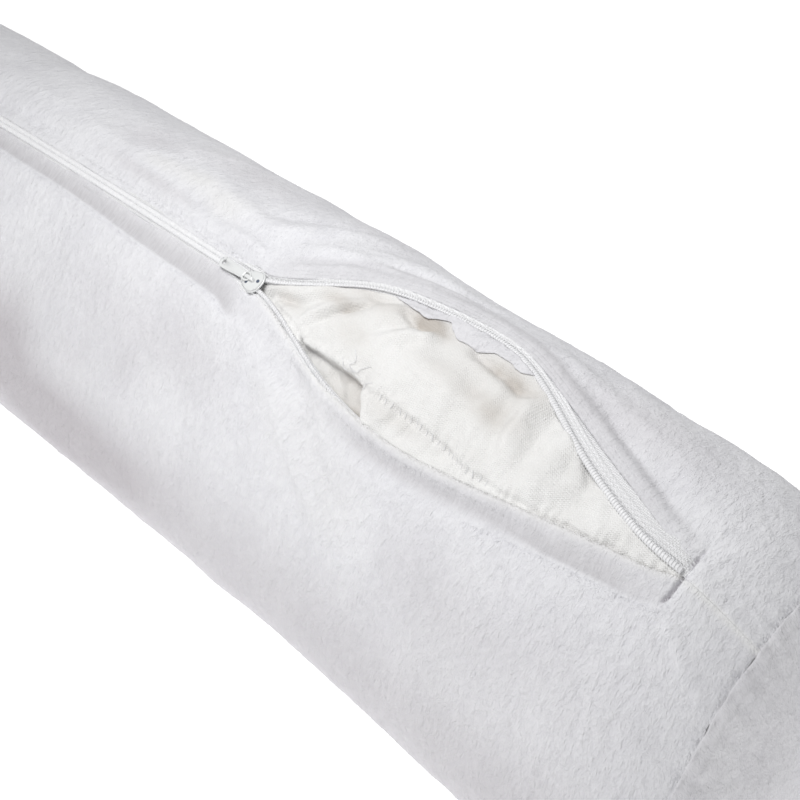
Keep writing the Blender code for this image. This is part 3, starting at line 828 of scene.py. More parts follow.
    def nap_and_painted_shading(self, x: Array, s: Array) -> Array:
        """Painted shading of the plush: patches of painted shade and highlight, some where the pile lies
        another way, painted shade low down and in the cross seam's fold, painted highlight at the lip.
        """
        along = x - self.form.slider_x
        past, there = self.crease_line(x, s)
        lip = (s > 0.0) * smooth(along / 0.02) * bell(s - self.layout.front_edge(x) - 0.0008, 0.0016)
        crease = there * bell(past + 0.0001, 0.00045)
        total = self.low_painted_shade * ramp(s, 0.066, 0.044) + self.crease_painted_shade * crease + self.lip_painted_highlight * lip
        return total + sum(patch.tone(along, s) for patch in PLUSH_PAINTED_SHADING)

    def from_edge(self, x: Array, s: Array) -> Array:
        """Distance from the nearer plush edge in millimetres, and past reach where the zip is sewn shut."""
        side = np.where(s > 0.0, s - self.layout.front_edge(x), -s - self.layout.back_edge(x))
        return side / MM + FAR_FROM_EDGE * (1.0 - self.layout.zip_share(x))

    def seam_mask(self, x: Array, s: Array) -> Array:
        """1 along the closed seam past the zip's ends."""
        return ramp(np.abs(x) - self.form.zip_end_x, 0.002, 0.002) * bell(s, 0.0009)

    def build(self, material: Material) -> Piece:
        """Makes the cover as one closed sheet.

        Args:
            material: The plush.

        Returns:
            The piece.
        """
        x = self.stations()[:, None]
        s, depth, outside = self.columns(x)
        around = self.form.girth(x)
        signed = np.where(s > around / 2, s - around, s)
        rise = self.rise(x, signed)
        points = self.form.skin(x, s, rise - depth)
        points[..., 2] = np.maximum(points[..., 2], 0.0004 * (1.0 - outside))
        rows, columns = s.shape
        faces = [grid_faces(rows, columns, round_columns=True)]
        outer_count = columns - 2 * self.roll_count - self.inside_count
        outer_index = np.arange(outer_count)
        inner_index = outer_count + self.roll_count + np.arange(self.inside_count)
        for row, flip in ((0, False), (rows - 1, True)):
            faces.append(self._end_strip(row * columns, outer_index, inner_index, columns, flip))
        flat = np.stack([x + 0 * s, signed], axis=-1).reshape(-1, 2)
        no_stitches = (signed > 0.0) | (x < self.form.slider_x)
        values = {
            "flattened": self.bands(x, signed)[1] * outside,
            "seam": self.seam_mask(x, signed) * outside,
            "nap_and_painted_shading": self.nap_and_painted_shading(x, signed),
            "from_edge": np.where(no_stitches, FAR_FROM_EDGE, self.from_edge(x, signed)),
        }
        return Surface(points.reshape(-1, 3), faces, flat, values).piece("cover_plush", material)

    def _end_strip(self, start: int, outer: Array, inner: Array, columns: int, flip: bool) -> Array:
        """Closes one end of the sheet by triangles between its outer and inner rows, of unequal counts.

        Both rows, with the rolled edges between them, are matched by their share of the way along.

        Args:
            start: Number of the row's first point.
            outer: Column numbers along the outer face.
            inner: Column numbers along the inner face, in the opposite direction.
            columns: Columns in a row.
            flip: Whether the triangles turn the other way round.

        Returns:
            The triangles.
        """
        half = self.roll_count // 2
        upper = np.concatenate([np.arange(columns - half, columns), outer, outer[-1] + 1 + np.arange(half)])
        lower = np.concatenate([
            np.arange(columns - half - 1, inner[-1], -1), inner[::-1],
            np.arange(inner[0] - 1, outer[-1] + half, -1),
        ])
        rows = [np.arange(1, len(row)) / (len(row) - 1) for row in (upper, lower)]
        on_upper = np.repeat([1, 0], [len(row) for row in rows])
        on_upper = on_upper[np.argsort(np.concatenate(rows), kind="stable")]
        i, j = np.cumsum(on_upper), np.cumsum(1 - on_upper)
        new = np.where(on_upper, upper[i], lower[j])
        found = np.stack([upper[i - on_upper], lower[j - (1 - on_upper)], new], axis=1) + start
        return found[:, ::-1] if flip else found


@dataclass
class EndPanel:
    """A plush end panel: a rounded triangle sewn into the cover's end, domed and drawn at its rim."""

    form: PillowForm
    cover: Cover
    side: int
    thickness: float = 0.002
    rings: int = 52
    spokes: int = 260
    seam_gap: float = 0.0009
    rim_turn: float = 0.0022
    lumps: Lumps = Lumps(0.0012, 0.03, 0.026, 31)
    gather_depth: float = 0.0007
    gather_pitch: float = 0.011

    def build(self, name: str, material: Material) -> Piece:
        """Makes the panel as a closed sheet: an outer dome, a rolled rim and an inner dome.

        A dome's point is its middle plus a share of the way to the rim, and stands out by one minus the
        share squared; near the rim it turns down into the seam.

        Args:
            name: The piece's name.
            material: The plush.

        Returns:
            The piece.
        """
        form, side = self.form, self.side
        end_x = side * form.end_seam_x
        around = float(form.girth(np.array(end_x)))
        s = np.linspace(0.0, 1.0, self.spokes, endpoint=False) * around
        signed = np.where(s > around / 2, s - around, s)
        ends = np.full_like(s, end_x)
        rim = form.skin(ends, s, self.cover.rise(ends, signed))
        middle = rim.mean(axis=0)
        radial = np.linspace(0.0, 1.0, self.rings + 1)[1:] ** 0.85
        outer_base, inner_base = self.thickness + self.seam_gap, self.seam_gap
        outer = self._dome(radial, rim, middle, signed, outer_base)
        inner = self._dome(radial[::-4], rim, middle, signed, inner_base)
        points = np.concatenate([
            outer.reshape(-1, 3), inner.reshape(-1, 3),
            [self._centre(middle, outer_base)], [self._centre(middle, inner_base)],
        ])
        faces = closed_faces(len(outer) + len(inner), self.spokes)
        return Surface(points, faces, points[:, 1:], plain_plush(len(points))).piece(name, material)

    def _crown(self, radial: Array, base: float) -> Array:
        """How far the dome stands past the end seam at a share of the way to the rim."""
        height = self.form.half_length - self.form.end_seam_x - base - 0.001
        turned_down = self.rim_turn * (1.0 - smooth((1.0 - radial) / 0.05))
        return base - turned_down + height * (1.0 - radial**2.4)

    def _centre(self, middle: Array, base: float) -> Array:
        """The middle point of a dome."""
        out = self.side * (self.form.end_seam_x + float(self._crown(np.array(0.0), base)))
        return np.array([out, middle[1], middle[2]])

    def _dome(self, radial: Array, rim: Array, middle: Array, signed: Array, base: float) -> Array:
        """Rings of a dome over the rim, with soft lumps and gathers near the seam."""
        ring = middle + radial[:, None, None] * (rim - middle)
        from_rim = 1.0 - radial[:, None]
        lumps = self.lumps.rise(ring[..., 1], ring[..., 2]) * smooth(from_rim / 0.2)
        gather = self.gather_depth * np.exp(-from_rim / 0.1) * np.sin(TAU * signed / self.gather_pitch)
        out = self._crown(radial, base)[:, None] + lumps + gather * smooth(from_rim / 0.02)
        ring[..., 0] = self.side * (self.form.end_seam_x + out)
        return ring


INNER_FOLDS = folds(
    (14, 1, 30, -3, 2.4, -2.6), (34, 5, 52, -18, 2.8, 2.6), (43, 0, 56, -18, 1.7, -3.4),
    (30, -4, 42, -13, 2.8, -2), (52, -22, 66, -27, 2.6, -2.2), (72, -22.5, 87, -21.5, 2.4, -3.6),
    (68, -10, 82, -22, 3, -2.8), (75, -8, 94, -21, 3, 2.4), (110, -24.5, 142, -21.8, 2.8, -3.6),
    (100, -22, 134, -20, 5, 1.2), (70, -2, 120, -6, 8, 1), (132, -26, 146, 4, 4.5, -1.6),
    (146, -24, 150, 8, 3.8, 2.2), (155, -24, 160, 6, 3.6, -2.6), (168, -20, 168, 8, 4.2, 2.6),
    (176, -16, 186, -6, 2.6, -2.6), (190, -8, 200, 4, 3.6, 1.4), (134, -4, 136, 12, 2.2, 1.2),
    (128, 2, 129, 16, 2.4, -1.4), (108, 11, 108, 20, 2.4, -1.6), (97, 9, 96, 18, 2.8, 1.4),
    (62, 12, 74, 20, 1.8, -1), (208, 2, 205, 8, 1.8, -1.4), (120, -14, 150, -2, 8, -1.4),
)
# Painted shadows on the satin: under the raw edge and coil, in its folds and by the seam.
SATIN_PAINTED_SHADOWS = patches(
    (23.5, -1, 7, 3.2, 0.95), (46, -11.8, 9.5, 3.8, 1.2), (62, -19, 12, 5, 0.45), (46, -23, 22, 5.5, 0.4),
    (61, -3.5, 10, 5, 0.5), (85, -24.3, 11, 4, 2.1), (124, -23.6, 15, 4.6, 1.35), (142, -22, 9, 6, 0.6),
    (112, -11, 20, 6, 0.45), (137, -8, 14, 6, 0.75), (100, 14, 16, 4, 0.4),
)
INNER_SEAM = in_metres(
    (0, 1), (10, 2), (24, 4.2), (34, 6.3), (46, 9.8), (56, 9.8), (64, 9.1), (74, 9.8), (86, 11.2),
    (100, 10.5), (110, 11.2), (124, 11.9), (136, 14), (150, 14.2), (175, 12), (200, 8.5), (222, 4),
)


@dataclass
class InnerPillow:
    """The filled satin pillow: under the cover it follows the form, and in the opening it swells out."""

    form: PillowForm
    layout: CoverLayout
    depth: float = 0.004
    open_rise: float = 0.0038
    front_lift: float = 0.001
    back_lift: float = 0.0015
    lift_share: float = 0.8
    hidden_drop: float = 0.0015
    panel_drop: float = 0.0006
    lap_drop: float = 0.0032
    lap_edge: float = 0.0011
    lap_start: float = 0.038
    lap_end: float = 0.078
    furrow: float = 0.0011
    pucker: float = 0.00045
    pucker_pitch: float = 0.005
    lumps: tuple[Lumps, ...] = (Lumps(0.0007, 0.014, 0.011, 42), Lumps(0.00022, 0.0052, 0.0046, 43))
    swell_cap: float = 0.0026
    wall_inset: float = 0.002
    crown_gap: float = 0.0055
    sim_step: float = 0.0034
    sim_frames: int = 20
    sim_pressure: float = 4.0
    swell: tuple[Array, Array, Array] | None = None

    def seam_line(self, along: Array) -> Array:
        """Arc of the hand-closed seam at a distance along from the slider."""
        return np.interp(along, *INNER_SEAM.T) + 0.0003 * np.sin(along / 0.0031)

    def in_opening(self, x: Array, s: Array) -> Array:
        """1 in the middle of the opening, falling smoothly to 0 at the coils."""
        front = self.form.coil_line(x, Side.FRONT)
        back = self.form.coil_line(x, Side.BACK)
        share = np.where(s > 0.0, 1.0 - s / np.maximum(front, 1e-4), 1.0 + s / np.maximum(back, 1e-4))
        return smooth(share * 1.6) * (self.form.opened(x) > 0.0)

    def risen(self, x: Array, s: Array) -> Array:
        """1 where the satin stands up in the opening, from under the back coil to short of the front lip."""
        hides = self.layout.hides(x)
        front = blend(self.form.coil_line(x, Side.FRONT) - 0.001, self.layout.front_edge(x), hides)
        past_front = front - s
        past_back = s + self.form.coil_line(x, Side.BACK) - 0.001
        short_of_end = smooth((self.form.zip_end_x - x) / 0.0014)
        inside = smooth(past_back / 0.0024 + 1.0) * smooth(past_front / 0.0024 + 1.0)
        return inside * (self.form.opened(x) > 0.0) * short_of_end

    def past_fold(self, along: Array, s: Array) -> Array:
        """How far past the lap's slanting end fold a place lies."""
        return along - self.lap_end - 0.78 * (s - 0.0095)

    def recess(self, along: Array, s: Array) -> Array:
        """1 on the lower panel where the upper one laps over it, 0 elsewhere."""
        below = smooth((s - self.seam_line(along)) / 0.001)
        short = 1.0 - smooth(self.past_fold(along, s) / 0.001)
        return ramp(along, self.lap_start, 0.012) * below * short

    def hand_shape(self, x: Array, s: Array) -> Array:
        """The folds, the seam's furrow and the lower panel beside it.

        The upper panel laps over the lower one along part of the seam, and stands up at its edge there.
        """
        along = x - self.form.slider_x
        off_seam = s - self.seam_line(along)
        past_fold = self.past_fold(along, s)
        lap = ramp(along, self.lap_start, 0.006) * (1.0 - smooth(past_fold / 0.001))
        shape = sum(fold.rise(along, s) for fold in INNER_FOLDS)
        drop = -(self.panel_drop + self.lap_drop * lap) * smooth(off_seam / 0.0012)
        edge = self.lap_edge * lap * bell(off_seam + 0.0014, 0.0014)
        edge = edge + self.lap_edge * bell(past_fold - 0.0024, 0.0016) * smooth(off_seam / 0.002)
        furrow = -self.furrow * (1.0 - lap) * bell(off_seam, 0.0011)
        beat = along / self.pucker_pitch + 0.8 * lattice_noise(along / 0.011, 0 * s, 41)
        pucker = self.pucker * np.sin(TAU * beat) * bell(off_seam, 0.0045)
        small = sum(lumps.rise(x, s) for lumps in self.lumps)
        return self.risen(x, s) * (shape + drop + edge + furrow + pucker + small)

    def base_rise(self, x: Array, s: Array) -> Array:
        """Height of the skin under the cover: up in the opening, lower under the slider and front lip."""
        form = self.form
        dent = 0.0016 * np.exp(-((x - form.slider_x) ** 2 + s**2) / 0.012**2)
        slack = 0.0008 * ramp(np.abs(s), 0.08, 0.04)
        front, back = form.coil_line(x, Side.FRONT), form.coil_line(x, Side.BACK)
        under = s - self.layout.front_edge(x)
        hidden = self.hidden_drop * self.layout.hides(x) * ramp(under, 0.001, 0.0016)
        hidden = hidden * (1.0 - ramp(under, 0.016, 0.004)) * (form.opened(x) < 1.0)
        lift = blend(self.back_lift, self.front_lift, np.clip((s + back) / (front + back), 0.0, 1.0))
        lift = self.lift_share * lift * np.sin(np.pi * form.opened(x)) ** 1.5
        low = form.relief(x, s) - self.depth - slack - dent - hidden
        rise = self.open_rise * smooth(form.opened(x) / 0.03) + lift
        return low + self.risen(x, s) * rise

    def simulated_swell(self) -> tuple[Array, Array, Array]:
        """Lets a patch of satin over the opening swell under pressure, held at its border.

        The patch is a grid in x and s, pinned outside the coils. Blender's cloth pushes it out from
        inside for a few frames, and the height that each point gains is read back, capped.

        Returns:
            The patch's x stations, s stations and heights.
        """
        form = self.form
        xs = np.arange(form.slider_x - 0.012, form.zip_end_x + 0.012, self.sim_step)
        ss = np.arange(-0.05, 0.034, self.sim_step)
        x, s = np.meshgrid(xs, ss, indexing="ij")
        start = form.skin(x, s, self.base_rise(x, s))
        held = 1.0 - smooth(self.in_opening(x, s) * 3.0)
        mesh = bpy.data.meshes.new("satin_patch")
        mesh.from_pydata(start.reshape(-1, 3).tolist(), [], grid_faces(*x.shape).tolist())
        patch = link(bpy.data.objects.new("satin_patch", mesh))
        pins = patch.vertex_groups.new(name="held")
        for number, weight in enumerate(held.reshape(-1)):
            pins.add([number], float(weight), "REPLACE")
        cloth = patch.modifiers.new("cloth", "CLOTH")
        for setting, value in {
            "quality": 6, "mass": 0.15, "tension_stiffness": 12.0, "compression_stiffness": 6.0,
            "bending_stiffness": 0.4, "use_pressure": True, "uniform_pressure_force": self.sim_pressure,
            "shrink_min": -0.035, "vertex_group_mass": "held",
        }.items():
            setattr(cloth.settings, setting, value)
        cloth.settings.effector_weights.gravity = 0.0
        scene = bpy.context.scene
        cloth.point_cache.frame_start, cloth.point_cache.frame_end = 1, self.sim_frames
        for frame in range(1, self.sim_frames + 1):
            scene.frame_set(frame)
        evaluated = patch.evaluated_get(bpy.context.evaluated_depsgraph_get())
        moved = np.empty(x.size * 3, np.float32)
        evaluated.data.vertices.foreach_get("co", moved)
        scene.frame_set(1)
        bpy.data.objects.remove(patch, do_unlink=True)
        gain = np.einsum("ijk,ijk->ij", moved.reshape(start.shape).astype(float) - start, form.outwards(x, s))
        LOG.info("satin swells by up to %.1f mm", gain.max() / MM)
        peak = max(float(gain.max()), 1e-6)
        return xs, ss, gain * min(1.0, self.swell_cap / peak) if peak > self.swell_cap else gain

    def smooth_height(self, x: Array, s: Array) -> Array:
        """Height of the satin over the plain form, with its swell and without its folds."""
        return self.base_rise(x, s) + grid_height(*self.swell, x, s)

    def height(self, x: Array, s: Array) -> Array:
        """Height of the satin over the plain form, with its swell, folds and seam."""
        return self.smooth_height(x, s) + self.hand_shape(x, s)

    def build(self, material: Material) -> Piece:
        """Makes the inner pillow as one closed form with a pole at each end.

        Args:
            material: The satin.

        Returns:
            The piece.
        """
        form = self.form
        wall_x = form.end_seam_x - self.wall_inset
        xs = graded(
            (-wall_x, -wall_x + 0.06, form.slider_x - 0.01, form.zip_end_x, wall_x),
            (0.006, 0.01, 0.0007, 0.004),
        )
        around = form.girth(xs)[:, None]
        dense = graded((-0.046, -0.043, 0.026, 0.029), (0.001, 0.00056, 0.001))
        rest = np.linspace(0.0, 1.0, 46)[None, 1:-1]
        s = np.concatenate([
            np.broadcast_to(dense, (len(xs), len(dense))),
            dense[-1] + (around + dense[0] - dense[-1]) * rest,
        ], axis=1)
        x = xs[:, None] + 0 * s
        signed = np.where(s > around / 2, s - around, s)
        self.swell = self.simulated_swell()
        tube_points = form.skin(x, s, self.height(x, signed))
        radials = np.linspace(0.0, 1.0, 12)[1:-1]
        crown = form.half_length - self.crown_gap - wall_x
        rings = []
        for side, ring in ((-1, tube_points[0]), (1, tube_points[-1])):
            lengths = np.linalg.norm(np.roll(ring, -1, axis=0) - np.roll(ring, 1, axis=0), axis=1)
            middle = np.average(ring, axis=0, weights=lengths)
            dome = middle + radials[:, None, None] * (ring - middle)
            dome[..., 0] = side * (wall_x + crown * (1 - radials[:, None] ** 2))
            rings.append((dome, np.array([side * (wall_x + crown), middle[1], middle[2]])))
        body = np.concatenate([rings[0][0], tube_points, rings[1][0][::-1]])
        points = np.concatenate([body.reshape(-1, 3), [rings[0][1]], [rings[1][1]]])
        flat_body = np.stack([body[..., 0], np.broadcast_to(signed[:1], body.shape[:2])], axis=-1)
        flat = np.concatenate([flat_body.reshape(-1, 2), [[-wall_x, 0.0], [wall_x, 0.0]]])
        # Painted shadow on the satin, stored on its points.
        values = {"nap_and_painted_shading": self.painted_shadow(flat[:, 0] - form.slider_x, flat[:, 1])}
        return Surface(points, closed_faces(*body.shape[:2]), flat, values).piece("inner_satin", material)

    def painted_shadow(self, along: Array, s: Array) -> Array:
        """How much painted shadow the satin gets: its patches of painted shadow, and painted shade on the
        lower panel where the upper one laps over it.
        """
        lap_shade = blend(0.2, 1.15, ramp(along, 0.055, 0.025))
        return sum(patch.tone(along, s) for patch in SATIN_PAINTED_SHADOWS) + self.recess(along, s) * lap_shade


RAW_EDGE = in_metres(
    (56, 28), (60, 28.4), (64, 28), (68, 27), (72, 26.2), (76, 25.6), (80, 25.2), (83, 25.4), (86, 27.8),
    (89, 30.2), (91, 30.4), (94, 27.8), (98, 26), (103, 25.2), (108, 25.4), (112, 26.8), (116, 28.8),
    (120, 29.2), (125, 28.7), (130, 28.1), (134, 27.6), (140, 28),
)


@dataclass
class RawEdge:
    """The uneven cut edge of the back plush, folded under its coil and hanging over the satin."""

    form: PillowForm
    cover: Cover
    pillow: InnerPillow
    thickness: float = 0.0006
    under_coil: float = 0.0011
    over_satin: float = 0.0011
    clear_of_satin: float = 0.0007
    tuck: float = 0.002

    def build(self, material: Material) -> Piece:
        """Makes the strip as a closed sheet, from under the tape to its scalloped edge.

        Args:
            material: The plush.

        Returns:
            The piece.
        """
        form = self.form
        start, stop = RAW_EDGE[0, 0], RAW_EDGE[-1, 0]
        xs = np.arange(form.slider_x + start, form.slider_x + stop, 0.0006)[:, None]
        along = xs - form.slider_x
        coil = form.coil_line(xs, Side.BACK)
        ends = ramp(along, start, 0.006) * smooth((stop - along) / 0.01)
        edge = np.interp(along, *RAW_EDGE.T) + 0.0003 * lattice_noise(along / 0.0018, 0 * along, 61)
        edge = coil - 0.0002 + (np.minimum(edge, coil - 0.0008) - coil) * ends
        share = np.linspace(0.0, 1.0, 14)[None, :]
        reach = blend(coil + self.tuck, edge, share)
        wave = 0.0004 * lattice_noise(along / 0.009, share * 2.0, 62) * share
        root = form.relief(xs, -coil) + self.cover.lift(xs, -coil) - self.under_coil
        lying = self.pillow.smooth_height(xs + 0 * reach, -reach) + self.over_satin
        settled = smooth((coil - 0.001 - reach) / 0.0045)
        top = blend(root, lying, settled) + wave - 0.0004 * ramp(share, 0.85, 0.15)
        satin = self.pillow.height(xs + 0 * reach, -reach) + self.clear_of_satin
        top = np.where(reach < coil - self.tuck / 2, np.maximum(top, satin), top)
        rise = out_and_back(top, top - self.thickness * (1 - 0.5 * share**6))
        s = -out_and_back(reach, reach)
        points = form.skin(xs, s, rise).reshape(-1, 3)
        flat = np.stack([xs + 0 * s, s], axis=-1).reshape(-1, 2)
        surface = Surface(points, strip_faces(*s.shape), flat, plain_plush(s.size))
        return surface.piece("raw_edge_plush", material)


@dataclass
class ClosingThread:
    """The neat stitches that close the inner pillow's seam, and a few loose ends of the same thread."""

    form: PillowForm
    pillow: InnerPillow
    radius: float = 0.00013
    first: float = 0.092
    last: float = 0.152
    pitch: float = 0.0031
    loops: tuple[tuple[float, float, float, float, float], ...] = (
        (0.068, 0.001, 0.074, 0.008, 0.0016),
        (0.072, 0.0085, 0.079, 0.003, 0.0014),
        (0.078, 0.012, 0.085, 0.008, 0.0012),
        (0.064, 0.006, 0.071, 0.0095, 0.001),
    )

    def strand(self, along: Array, s: Array, lift: Array) -> Surface:
        """A thin tube laid on the satin at a row of places."""
        x = along + self.form.slider_x
        path = self.form.skin(x, s, self.pillow.height(x, s) + self.radius + lift)
        forward = unit(np.gradient(path, axis=0))
        across = unit(np.cross(forward, self.form.outwards(x, s)))
        return tube(path, self.radius, 6, across, unit(np.cross(across, forward)))

    def build(self, material: Material) -> Piece:
        """Makes the stitches and loose ends as one piece.

        Args:
            material: The thread.

        Returns:
            The piece.
        """
        parts = []
        for number, along in enumerate(np.arange(self.first, self.last, self.pitch)):
            share = np.linspace(0.0, 1.0, 7)
            middle = float(self.pillow.seam_line(np.array(along)))
            lean = 0.0006 * math.sin(2.3 * number)
            line = along + lean * (share - 0.5) + 0.0004 * share
            parts.append(self.strand(line, middle - 0.0012 + 0.0024 * share, 0.0003 * np.sin(np.pi * share)))
        for start_x, start_s, end_x, end_s, bow in self.loops:
            share = np.linspace(0.0, 1.0, 22)
            line = blend(start_x, end_x, share) + bow * np.sin(TAU * share)
            across = blend(start_s, end_s, share) + bow * np.sin(np.pi * share)
            parts.append(self.strand(line, across, 0.0006 * np.sin(np.pi * share)))
        return joined(parts).piece("closing_thread", material)


@dataclass
class Pile:
    """Fibres of the plush as thin closed spikes, where its edges, ledges and slopes catch the light."""

    form: PillowForm
    cover: Cover
    length: float = 0.0014
    width: float = 0.00011
    lip_count: int = 7000
    ledge_count: int = 5000
    face_count: int = 42000
    end_count: int = 7000
    clump: float = 0.003
    sunk: float = 0.0002
    # Painted highlight added to the lip fibres.
    lip_painted_highlight: float = -0.5

    def spikes(self, roots: Array, directions: Array, lengths: Array, name: str, nap_and_painted_shading: Array,
               material: Material) -> Piece:
        """Four-faced spikes: a small triangle at each root, joined to a tip.

        Args:
            roots: Where the fibres start.
            directions: Unit directions that they point in.
            lengths: Their lengths.
            name: The piece's name.
            nap_and_painted_shading: Painted shade and highlight of the plush at each root.
            material: The fibres' finish.

        Returns:
            The piece.
        """
        aside = unit(np.cross(directions, (0.31, 0.52, 0.8)))
        other = np.cross(directions, aside)
        turns = (0.0, TAU / 3, 2 * TAU / 3)
        corners = [roots + self.width * (math.cos(turn) * aside + math.sin(turn) * other) for turn in turns]
        points = np.stack([*corners, roots + directions * lengths[:, None]], axis=1).reshape(-1, 3)
        sides = np.array([(0, 2, 1), (0, 1, 3), (1, 2, 3), (2, 0, 3)])[:, None]
        faces = (sides + 4 * np.arange(len(roots))[:, None]).reshape(-1, 3)
        return Surface(points, [faces], None, {"nap_and_painted_shading": np.repeat(nap_and_painted_shading, 4)}).piece(name, material)

    def frame(self, x: Array, s: Array, height: Array) -> tuple[Array, Array, Array]:
        """Points on the cover, and unit directions outwards and down the slope, away from the zip line."""
        here = self.form.skin(x, s, height)
        out = unit(self.form.skin(x, s, height + 0.001) - here)
        down = unit(self.form.skin(x, s + 0.001, height) - here)
        return here, out, down

    def lean(self, x: Array, s: Array) -> tuple[Array, Array]:
        """How far neighbouring fibres lean together down the slope and along the pillow."""
        u, v = x / self.clump, s / self.clump
        return lattice_noise(u, v, 71), lattice_noise(u, v, 72)

    def lips(self, side: Side, name: str, material: Material) -> Piece:
        """Fibres round the rolled edge beside the zip, pointing out of the roll.

        Args:
            side: Which side of the zip.
            name: The piece's name.
            material: The fibres' finish.

        Returns:
            The piece.
        """
        random = np.random.default_rng(101 + side.value)
        x = random.uniform(-0.15, self.form.zip_end_x - 0.001, self.lip_count)
        radius = self.cover.roll_radius(x, side)
        front = side is Side.FRONT
        turn = random.uniform(-0.8, 0.9 if front else 1.2, self.lip_count)
        edge = self.cover.layout.edge(x, side) + radius
        s = side.value * (edge - radius * np.sin(turn) + np.maximum(-turn, 0.0) * 0.004)
        height = self.cover.rise(x, side.value * edge) - radius * (1 - np.cos(np.maximum(turn, 0.0)))
        here, out, down = self.frame(x, s, height)
        lean_s, lean_x = self.lean(x, s)
        towards = -side.value * down
        way = out * np.cos(turn)[:, None] + towards * np.sin(np.maximum(turn, 0.2))[:, None]
        way = way + 0.5 * lean_s[:, None] * down + random.normal(0.0, 0.25, way.shape)
        way[:, 0] += 0.7 * lean_x
        lengths = (0.55 if front else 0.45) * self.length * random.uniform(0.5, 1.1, len(x))
        # The plush's painted shading at the root, with painted highlight on the lip.
        nap_and_painted_shading = self.cover.nap_and_painted_shading(x, s) + self.lip_painted_highlight
        return self.spikes(here - self.sunk * out, unit(way), lengths, name, nap_and_painted_shading, material)

    def ledges(self, name: str, material: Material) -> Piece:
        """Fibres along the front ledge past the stitches, and round the cross seam that ends the zip."""
        random = np.random.default_rng(211)
        x = random.uniform(-0.25, self.form.zip_end_x, self.ledge_count)
        along = x - self.form.slider_x
        x = x[(along < 0.0) | (along > 0.15)]
        layout = self.cover.layout
        past = random.exponential(0.0012, len(x))
        s = layout.front_edge(x) + layout.band_width(x) + 0.0004 + past
        cross_s = random.uniform(-0.012, 0.013, self.ledge_count // 14)
        cross_x = self.form.zip_end_x - 0.0002 + random.exponential(0.001, len(cross_s))
        cross = np.concatenate([np.zeros(len(x)), np.ones(len(cross_s))])
        x, s = np.concatenate([x, cross_x]), np.concatenate([s, cross_s])
        here, out, down = self.frame(x, s, self.cover.rise(x, s))
        lean_s, lean_x = self.lean(x, s)
        way = out * 0.7 - down * (0.75 * (1 - cross))[:, None] + 0.5 * lean_s[:, None] * down
        way = way + random.normal(0.0, 0.2, way.shape)
        way[:, 0] += 0.5 * lean_x - 0.8 * cross
        lengths = self.length * random.uniform(0.4, 0.9, len(x))
        return self.spikes(here - self.sunk * out, unit(way), lengths, name, self.cover.nap_and_painted_shading(x, s), material)

    def slopes(self, name: str, material: Material) -> Piece:
        """Fibres lying all over the front, top and back, and standing at the end seams."""
        random = np.random.default_rng(307)
        x = random.uniform(-self.form.end_seam_x + 0.001, self.form.end_seam_x - 0.001, self.face_count)
        s = random.uniform(-0.15, 0.15, self.face_count)
        end = np.sign(random.uniform(-1, 1, self.end_count)) * (
            self.form.end_seam_x - 0.0006 - random.exponential(0.0008, self.end_count))
        around = random.uniform(-0.22, 0.22, self.end_count)
        x, s = np.concatenate([x, end]), np.concatenate([s, around])
        from_edge = self.cover.from_edge(x, s)
        band = self.cover.bands(x, s)[1]
        kept = (from_edge > 2.0) & (band < 0.6)
        x, s = x[kept], s[kept]
        here, out, down = self.frame(x, s, self.cover.rise(x, s))
        lean_s, lean_x = self.lean(x, s)
        way = out * 0.5 + down * (0.65 + 0.5 * lean_s)[:, None] + random.normal(0.0, 0.18, here.shape)
        way[:, 0] += 0.35 + 0.6 * lean_x
        lengths = 0.7 * self.length * random.uniform(0.5, 1.0, len(x))
        return self.spikes(here - 0.00015 * out, unit(way), lengths, name, self.cover.nap_and_painted_shading(x, s), material)


def grid_height(xs: Array, ss: Array, heights: Array, x: Array, s: Array) -> Array:
    """Heights of an even grid read smoothly at any point, 0 outside it.

    The three nearest rows and columns are weighed by the quadratic B-spline: half of (1/2 - t) squared,
    3/4 - t squared and half of (1/2 + t) squared, where t is the distance to the nearest one, in cells.
    """
    total = 0.0 * x
    u, v = (x - xs[0]) / (xs[1] - xs[0]), (s - ss[0]) / (ss[1] - ss[0])
    inside = (u >= 0) & (v >= 0) & (u <= len(xs) - 1) & (v <= len(ss) - 1)
    i, j = (np.clip(np.rint(w).astype(int), 1, n - 2) for w, n in ((u, len(xs)), (v, len(ss))))
    shares = [(0.5 * (0.5 - t) ** 2, 0.75 - t**2, 0.5 * (0.5 + t) ** 2) for t in (u - i, v - j)]
    for row in range(3):
        for column in range(3):
            total = total + heights[i + row - 1, j + column - 1] * shares[0][row] * shares[1][column]
    return np.where(inside, total, 0.0)


